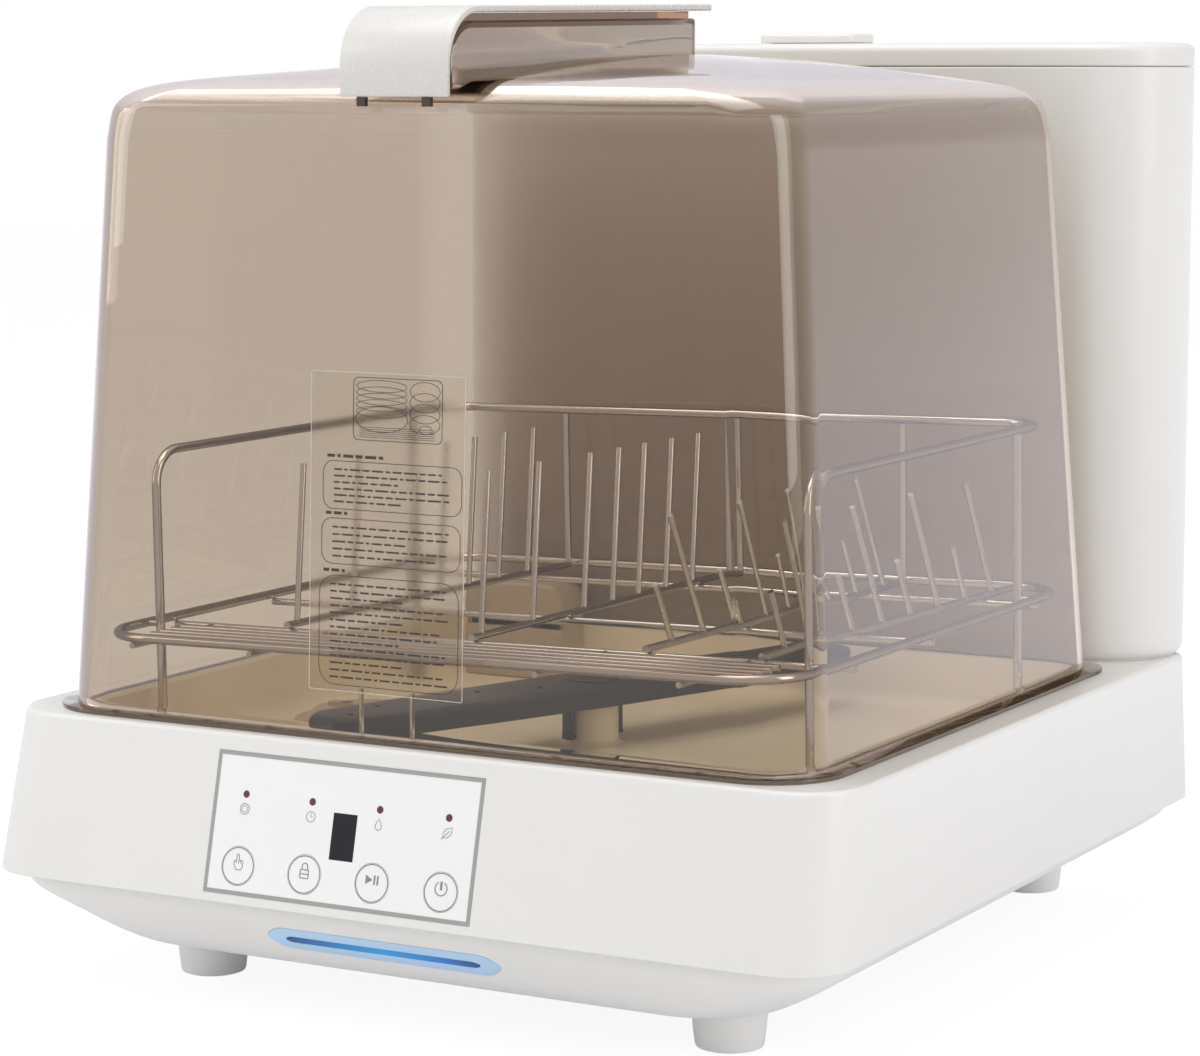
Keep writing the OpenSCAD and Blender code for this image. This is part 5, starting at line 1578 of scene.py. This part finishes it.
@dataclass
class Hood:
    """Smoke-clear hood with its foot flange, ribs, grip and white cap."""

    half_w: float = 186.0
    front: float = -184.5
    rear: float = 144.5
    foot_z: float = 125.8
    flange_z: float = 123.8
    flange_w: float = 7.0
    flange_rear: float = 150.5
    wall: float = 3.0
    corner_r: float = 27.0
    # Over this height from the shoulder the inner face turns from upright to flat
    turn_h: float = 26.0
    # From the shoulder to the crown: height, insets of side, front and rear, and the corners' radius
    rows: tuple[tuple[float, float, float, float, float], ...] = (
        (377.0, 15.0, 8.5, 14.5, 27.0),
        (390.1, 17.5, 9.8, 17.0, 27.0),
        (396.5, 22.0, 13.0, 21.5, 28.0),
        (400.6, 30.0, 19.0, 29.0, 31.0),
        (403.25, 41.0, 29.0, 40.0, 35.0),
        (407.0, 66.0, 66.0, 56.0, 41.0),
        (411.5, 105.0, 130.0, 78.0, 30.0),
        (414.5, 150.0, 196.0, 104.0, 12.0),
    )
    rib_xs: Pair = (-24.0, 1.5)
    rib_size: tuple[float, float, float] = (1.2, 2.6, 19.0)
    rib_z: float = 136.0
    handle_x: float = -6.0
    grip_w: float = 48.0
    neck_w: float = 43.0
    cap_w: float = 53.0
    cap_rear: float = 57.5
    cap_front: float = -181.5
    cap_bend: float = 26.0
    cap_top: float = 434.4
    cap_low: float = 396.5
    cap_wall: float = 3.0

    def _outline(self, z: float, side: float, front: float, rear: float, radius: float) -> Outline:
        """Gives the hood's outline at a height.

        Args:
            z: The height.
            side: Inset of both sides.
            front: Inset of the front.
            rear: Inset of the rear.
            radius: Radius of the corners.

        Returns:
            The outline.
        """
        return Outline(
            z, -self.half_w + side, self.half_w - side, self.front + front, self.rear - rear, radius, radius
        )

    def outer(self) -> list[Outline]:
        """Gives the outer face's outlines from the wall's foot to the crown."""
        foot = self._outline(self.foot_z, 0, 0, 0, self.corner_r)
        return [foot, *refined([self._outline(*row) for row in self.rows])]

    def _inside(self, row: Outline) -> Outline:
        """Gives the inner face's outline for one of the outer face."""
        steep = min(1.0, max(0.0, (row.z - self.rows[0][0]) / self.turn_h))
        return row.inset(self.wall * (1 - 0.55 * steep), row.z - self.wall * (0.25 + 0.75 * steep))

    def shell(self) -> None:
        """Builds the hood's wall as one closed skin, inside and out."""
        foot, *crown = self.outer()
        inner = [self._inside(row) for row in crown]
        shoulder = inner[0].z
        low = foot.inset(self.wall, self.foot_z + 0.05)
        skin = Loft(inner[-1], 16).to(*reversed(inner[:-1]))
        skin.to(*[low.towards(inner[0], z) for z in (shoulder - 2, shoulder - 5, 250.0, 133.0, 129.0)])
        edge = low.z + 0.3
        skin.to(low.inset(0, edge), low.inset(-0.3), foot.inset(0.3, low.z), foot.inset(0, edge))
        skin.to(*[foot.towards(crown[0], z) for z in (126.8, 128.8, 133.0, 250.0, 372.0, 375.0)])
        skin.to(*crown)
        y = self.front + self.wall + 1.2
        ribs = [block(self.rib_size, (x, y, self.rib_z), 0.4, 2) for x in self.rib_xs]
        whole = merged([skin.close(), *ribs])
        finish_piece("hood_wall", whole, Look.HOOD, "hood", ["hood_shell"], 50)

    def flange(self) -> None:
        """Builds the flange round the hood's foot, as a ring under the wall."""
        inside = self.outer()[0].inset(self.wall)
        rim = inside.inset(-self.flange_w - self.wall, self.flange_z)
        rim = Outline(rim.z, rim.x0, rim.x1, rim.y0, self.flange_rear, 34.0, 26.0)
        skin = Loft(inside.inset(0, self.flange_z), 16).to(
            rim.inset(0.5),
            rim.inset(0.12, self.flange_z + 0.12),
            rim.inset(0, self.flange_z + 0.5),
            rim.inset(0, self.foot_z - 0.5),
            rim.inset(0.12, self.foot_z - 0.12),
            rim.inset(0.5, self.foot_z),
            inside,
        )
        finish_piece("hood_flange", skin.ring(), Look.RIM, "hood", ["hood_shell"], 50)

    def _cap_line(self, drop: float, rear: float) -> list[Pair]:
        """Gives the handle's side outline below the cap's outer face.

        Args:
            drop: How far below the outer face it runs.
            rear: Where it ends.

        Returns:
            Y and Z pairs from the front foot over the bend to the rear.
        """
        radius = self.cap_bend - drop
        y, z = self.cap_front + self.cap_bend, self.cap_top - self.cap_bend
        angles = [math.radians(180 - 90 * step / 16) for step in range(17)]
        bend = [(y + radius * math.cos(a), z + radius * math.sin(a)) for a in angles]
        rise = (rear - y) * math.tan(math.radians(1))
        return [(self.cap_front + drop, self.cap_low), *bend, (rear, self.cap_top + rise - drop)]

    def _slab(self, width: float, line: Sequence[Pair]) -> BMesh:
        """Extrudes a side outline to a width about the handle's middle."""
        x = self.handle_x - width / 2
        return plate([(x, y, z) for y, z in line], (width, 0, 0))

    def grip(self) -> None:
        """Builds the clear hollow grip that carries the cap."""
        body = self._slab(self.grip_w, self._cap_line(6.4, 46.0) + [(46.0, 400.0), (-171.5, 400.0)])
        soften(body, 1.5, 3, 50)
        neck = self._slab(self.neck_w, self._cap_line(3.2, 43.0) + [(43.0, 420.0), (-171.5, 408.0)])
        hollow = self._slab(self.neck_w, self._cap_line(9.5, 43.5) + [(43.5, 380.0), (-167.5, 380.0)])
        foot, *crown = self.outer()
        under = Loft(foot.inset(0.0, 300.0), 10).to(*[row.inset(0.3, row.z - 0.3) for row in crown])
        grip = combined(combined(body, [neck], Solid.JOIN), [hollow, under.close()])
        finish_piece("hood_grip", grip, Look.HOOD, "hood", (), 40)

    def cap(self) -> None:
        """Builds the white cap over the grip."""
        line = self._cap_line(0.0, self.cap_rear) + self._cap_line(self.cap_wall, self.cap_rear)[::-1]
        cap = soften(self._slab(self.cap_w, line), 0.9, 4, 50)
        finish_piece("grip_cap", cap, Look.CAP, "hood", ["handle_cap"], 30)


@dataclass
class FilmPrint:
    """Print of the film on the hood's front: a rack of dishes and three boxes of dashes."""

    foot_z: float = 125.8
    front: float = -184.5
    lean: float = 8.5
    rise: float = 251.2
    surface: float = -0.36
    left: float = -49.0
    right: float = 28.0
    low: float = 18.2
    high: float = 155.2
    # Left, right, lower and upper side, number of rows, length of the head and radius of the corners
    boxes: tuple[tuple[float, float, float, float, int, float, float], ...] = (
        (-42.5, 26.5, 96.5, 117.0, 6, 30.0, 5.0),
        (-43.0, 26.0, 73.0, 92.5, 5, 17.0, 5.0),
        (-44.0, 25.5, 21.0, 68.0, 14, 11.0, 8.0),
    )

    def print_dishes(self, ink: Ink) -> None:
        """Prints the stack of plates and bowls in their rack.

        Args:
            ink: The film's print.
        """
        ink.frame(-27.5, 16.5, 126.5, 153.0, 2.5)
        for step in range(5):
            ink.arc(-13.5, 149.5 - 2.7 * step, 12.5, 0.25, 0.2)
        ink.arc(-13.5, 135.5, 13.0, 0.28, 0.42)
        for step in range(4):
            ink.arc(8.0, 148.0 - 4.6 * step, 7.4, 0.25, 0.55)
        ink.arc(8.5, 132.0, 3.2, 0.25, 0.55)
        for z in (127.8 + 0.85 * step for step in range(6)):
            ink.line([(-24.5, z), (13.0, z)], 0.22)

    def print_boxes(self, ink: Ink) -> None:
        """Prints the three boxes with their heads and rows; every third row ends early.

        Args:
            ink: The film's print.
        """
        for x0, x1, z0, z1, rows, head, radius in self.boxes:
            ink.frame(x0, x1, z0, z1, radius)
            ink.greek(x0 + 2, x0 + 2 + head, z1 + 2.2, 1.3, rows)
            pitch = (z1 - z0 - 4.0) / rows
            for row in range(rows):
                end = x1 - (26.0 if row % 3 == 2 else 5.0)
                ink.greek(x0 + 5.5, end, z1 - 2.2 - pitch * (row + 0.5), 0.75, row * 4 + rows)

    def build(self) -> None:
        """Prints the film and its cut edge."""
        place = placed((0, self.front, self.foot_z), -math.atan(self.lean / self.rise), "X")
        ink, edge = Ink(self.surface), Ink(self.surface)
        self.print_dishes(ink)
        self.print_boxes(ink)
        edge.frame(self.left + 0.2, self.right - 0.2, self.low + 0.2, self.high - 0.2, 0.5, 0.28)
        finish_piece("film_dishes_and_rows", ink.done(place), Look.FILM_PRINT, "hood")
        finish_piece("film_edge", edge.done(place), Look.FILM_EDGE, "hood")


# ---------------------------------------------------------------- room


@dataclass
class Studio:
    """Camera, lights, floor and the white room."""

    lens_mm: float = 106.77
    place: tuple[float, float, float] = (0.7905, -1.4439, 0.4080)
    azimuth: float = 28.938
    pitch: float = -7.350
    floor_half: float = 6.0
    floor_z: float = -0.4
    # Of each softbox its name, where it hangs, its width and height in metres, and its power
    lamps: tuple[tuple[str, tuple[float, float, float], Pair, float], ...] = (
        ("overhead", (-0.2, -0.4, 2.2), (1.8, 1.4), 20),
        ("left_box", (-1.9, -1.3, 1.1), (1.0, 1.6), 11),
        ("right_box", (2.2, -0.4, 1.0), (0.8, 1.6), 12),
    )
    aim: tuple[float, float, float] = (0, 0, 0.2)

    def camera(self) -> None:
        """Sets the camera."""
        data = bpy.data.cameras.new("camera")
        data.lens = self.lens_mm
        data.sensor_width = 36.0
        data.sensor_fit = "HORIZONTAL"
        data.clip_start = 0.05
        data.clip_end = 50.0
        camera = bpy.data.objects.new("camera", data)
        camera.location = self.place
        camera.rotation_euler = (math.radians(90 + self.pitch), 0.0, math.radians(self.azimuth))
        bpy.context.collection.objects.link(camera)
        bpy.context.scene.camera = camera

    def floor(self) -> None:
        """Lays a pale floor that keeps the shadow."""
        bm = bmesh.new()
        bmesh.ops.create_grid(bm, x_segments=1, y_segments=1, size=self.floor_half)
        floor = loose("floor", moved(bm, Matrix.Translation((0, 0, self.floor_z * MM))))
        floor.data.materials.append(Look.FLOOR.material)

    def world(self) -> None:
        """Sets a white room whose light on the object is softer than it looks."""
        world = bpy.data.worlds.new("room")
        bpy.context.scene.world = world
        world.use_nodes = True
        tree = world.node_tree
        tree.nodes.clear()
        lit = add(tree, "Background", {"Color": (0.97, 0.98, 1.0, 1), "Strength": 0.62})
        white = add(tree, "Background", {"Color": (1, 1, 1, 1), "Strength": 1.0})
        way = add(tree, "SeparateXYZ", {"Vector": add(tree, "TexCoord").outputs["Generated"]}).outputs
        # Mirrored, the room is brightest overhead, which draws the highlights along the wires
        rise = {"Value": way["Z"], "From Min": 0.5, "From Max": 0.95, "To Min": 1.0, "To Max": 1.7}
        # Past the floor's rear edge it is bright too, which veils the hood's right side
        depth = {"Value": way["Y"], "From Min": 0.0, "From Max": 0.6, "To Min": 1.0, "To Max": 2.2}
        horizon = {
            "Value": way["Z"],
            "From Min": -0.1,
            "From Max": 0.1,
            "To Min": add(tree, "MapRange", depth).outputs["Result"],
            "To Max": add(tree, "MapRange", rise).outputs["Result"],
        }
        strength = add(tree, "MapRange", horizon).outputs["Result"]
        mirrored = add(tree, "Background", {"Color": linear("#dddde6"), "Strength": strength})
        looks = {
            0: any_of(tree, Ray.CAMERA, Ray.THROUGH),
            1: lit.outputs["Background"],
            2: white.outputs["Background"],
        }
        faces = {
            0: any_of(tree, Ray.MIRROR),
            1: add(tree, "MixShader", looks).outputs["Shader"],
            2: mirrored.outputs["Background"],
        }
        add(tree, "OutputWorld", {"Surface": add(tree, "MixShader", faces).outputs["Shader"]})

    def lights(self) -> None:
        """Hangs the softboxes, turned to the machine's middle."""
        for name, place, size, watts in self.lamps:
            data = bpy.data.lights.new(name, "AREA")
            data.shape = "RECTANGLE"
            data.size, data.size_y = size
            data.energy = watts
            lamp = bpy.data.objects.new(name, data)
            lamp.location = place
            lamp.rotation_euler = (Vector(self.aim) - Vector(place)).to_track_quat("-Z", "Y").to_euler()
            bpy.context.collection.objects.link(lamp)

    def build(self) -> None:
        """Sets up the whole room."""
        bpy.context.scene.view_settings.view_transform = "Standard"
        self.camera()
        self.floor()
        self.world()
        self.lights()


# ---------------------------------------------------------------- dressing


def dress_nodes() -> None:
    """Gives each CAD node the finish of its slot in the record; the key caps lie under the overlay."""
    for part in frame["record"]["subparts"]:
        node = frame["nodes"][part["node"]]
        is_key = part["node"].startswith("key_")
        material = BY_SLOT["overlay" if is_key else part["material_slot"]].material
        if node.material_slots:
            for place in node.material_slots:
                place.material = material
        else:
            node.data.materials.append(material)


def main() -> None:
    """Builds the machine and its room."""
    Studio().build()
    dress_nodes()
    casing, panel, tank, tub, hood = Casing(), PanelPrint(), Tank(), WashTub(), Hood()
    steps = [
        casing.upper, casing.belly, casing.feet, LightStrip().build, panel.keys, panel.lamps,
        tank.body, tank.cover, tank.filler, tub.tub, tub.tower, SprayArm().build,
        hood.shell, hood.flange, hood.grip, hood.cap, FilmPrint().build,
    ]
    for step in steps:
        step()


if __name__ == "__main__":
    main()
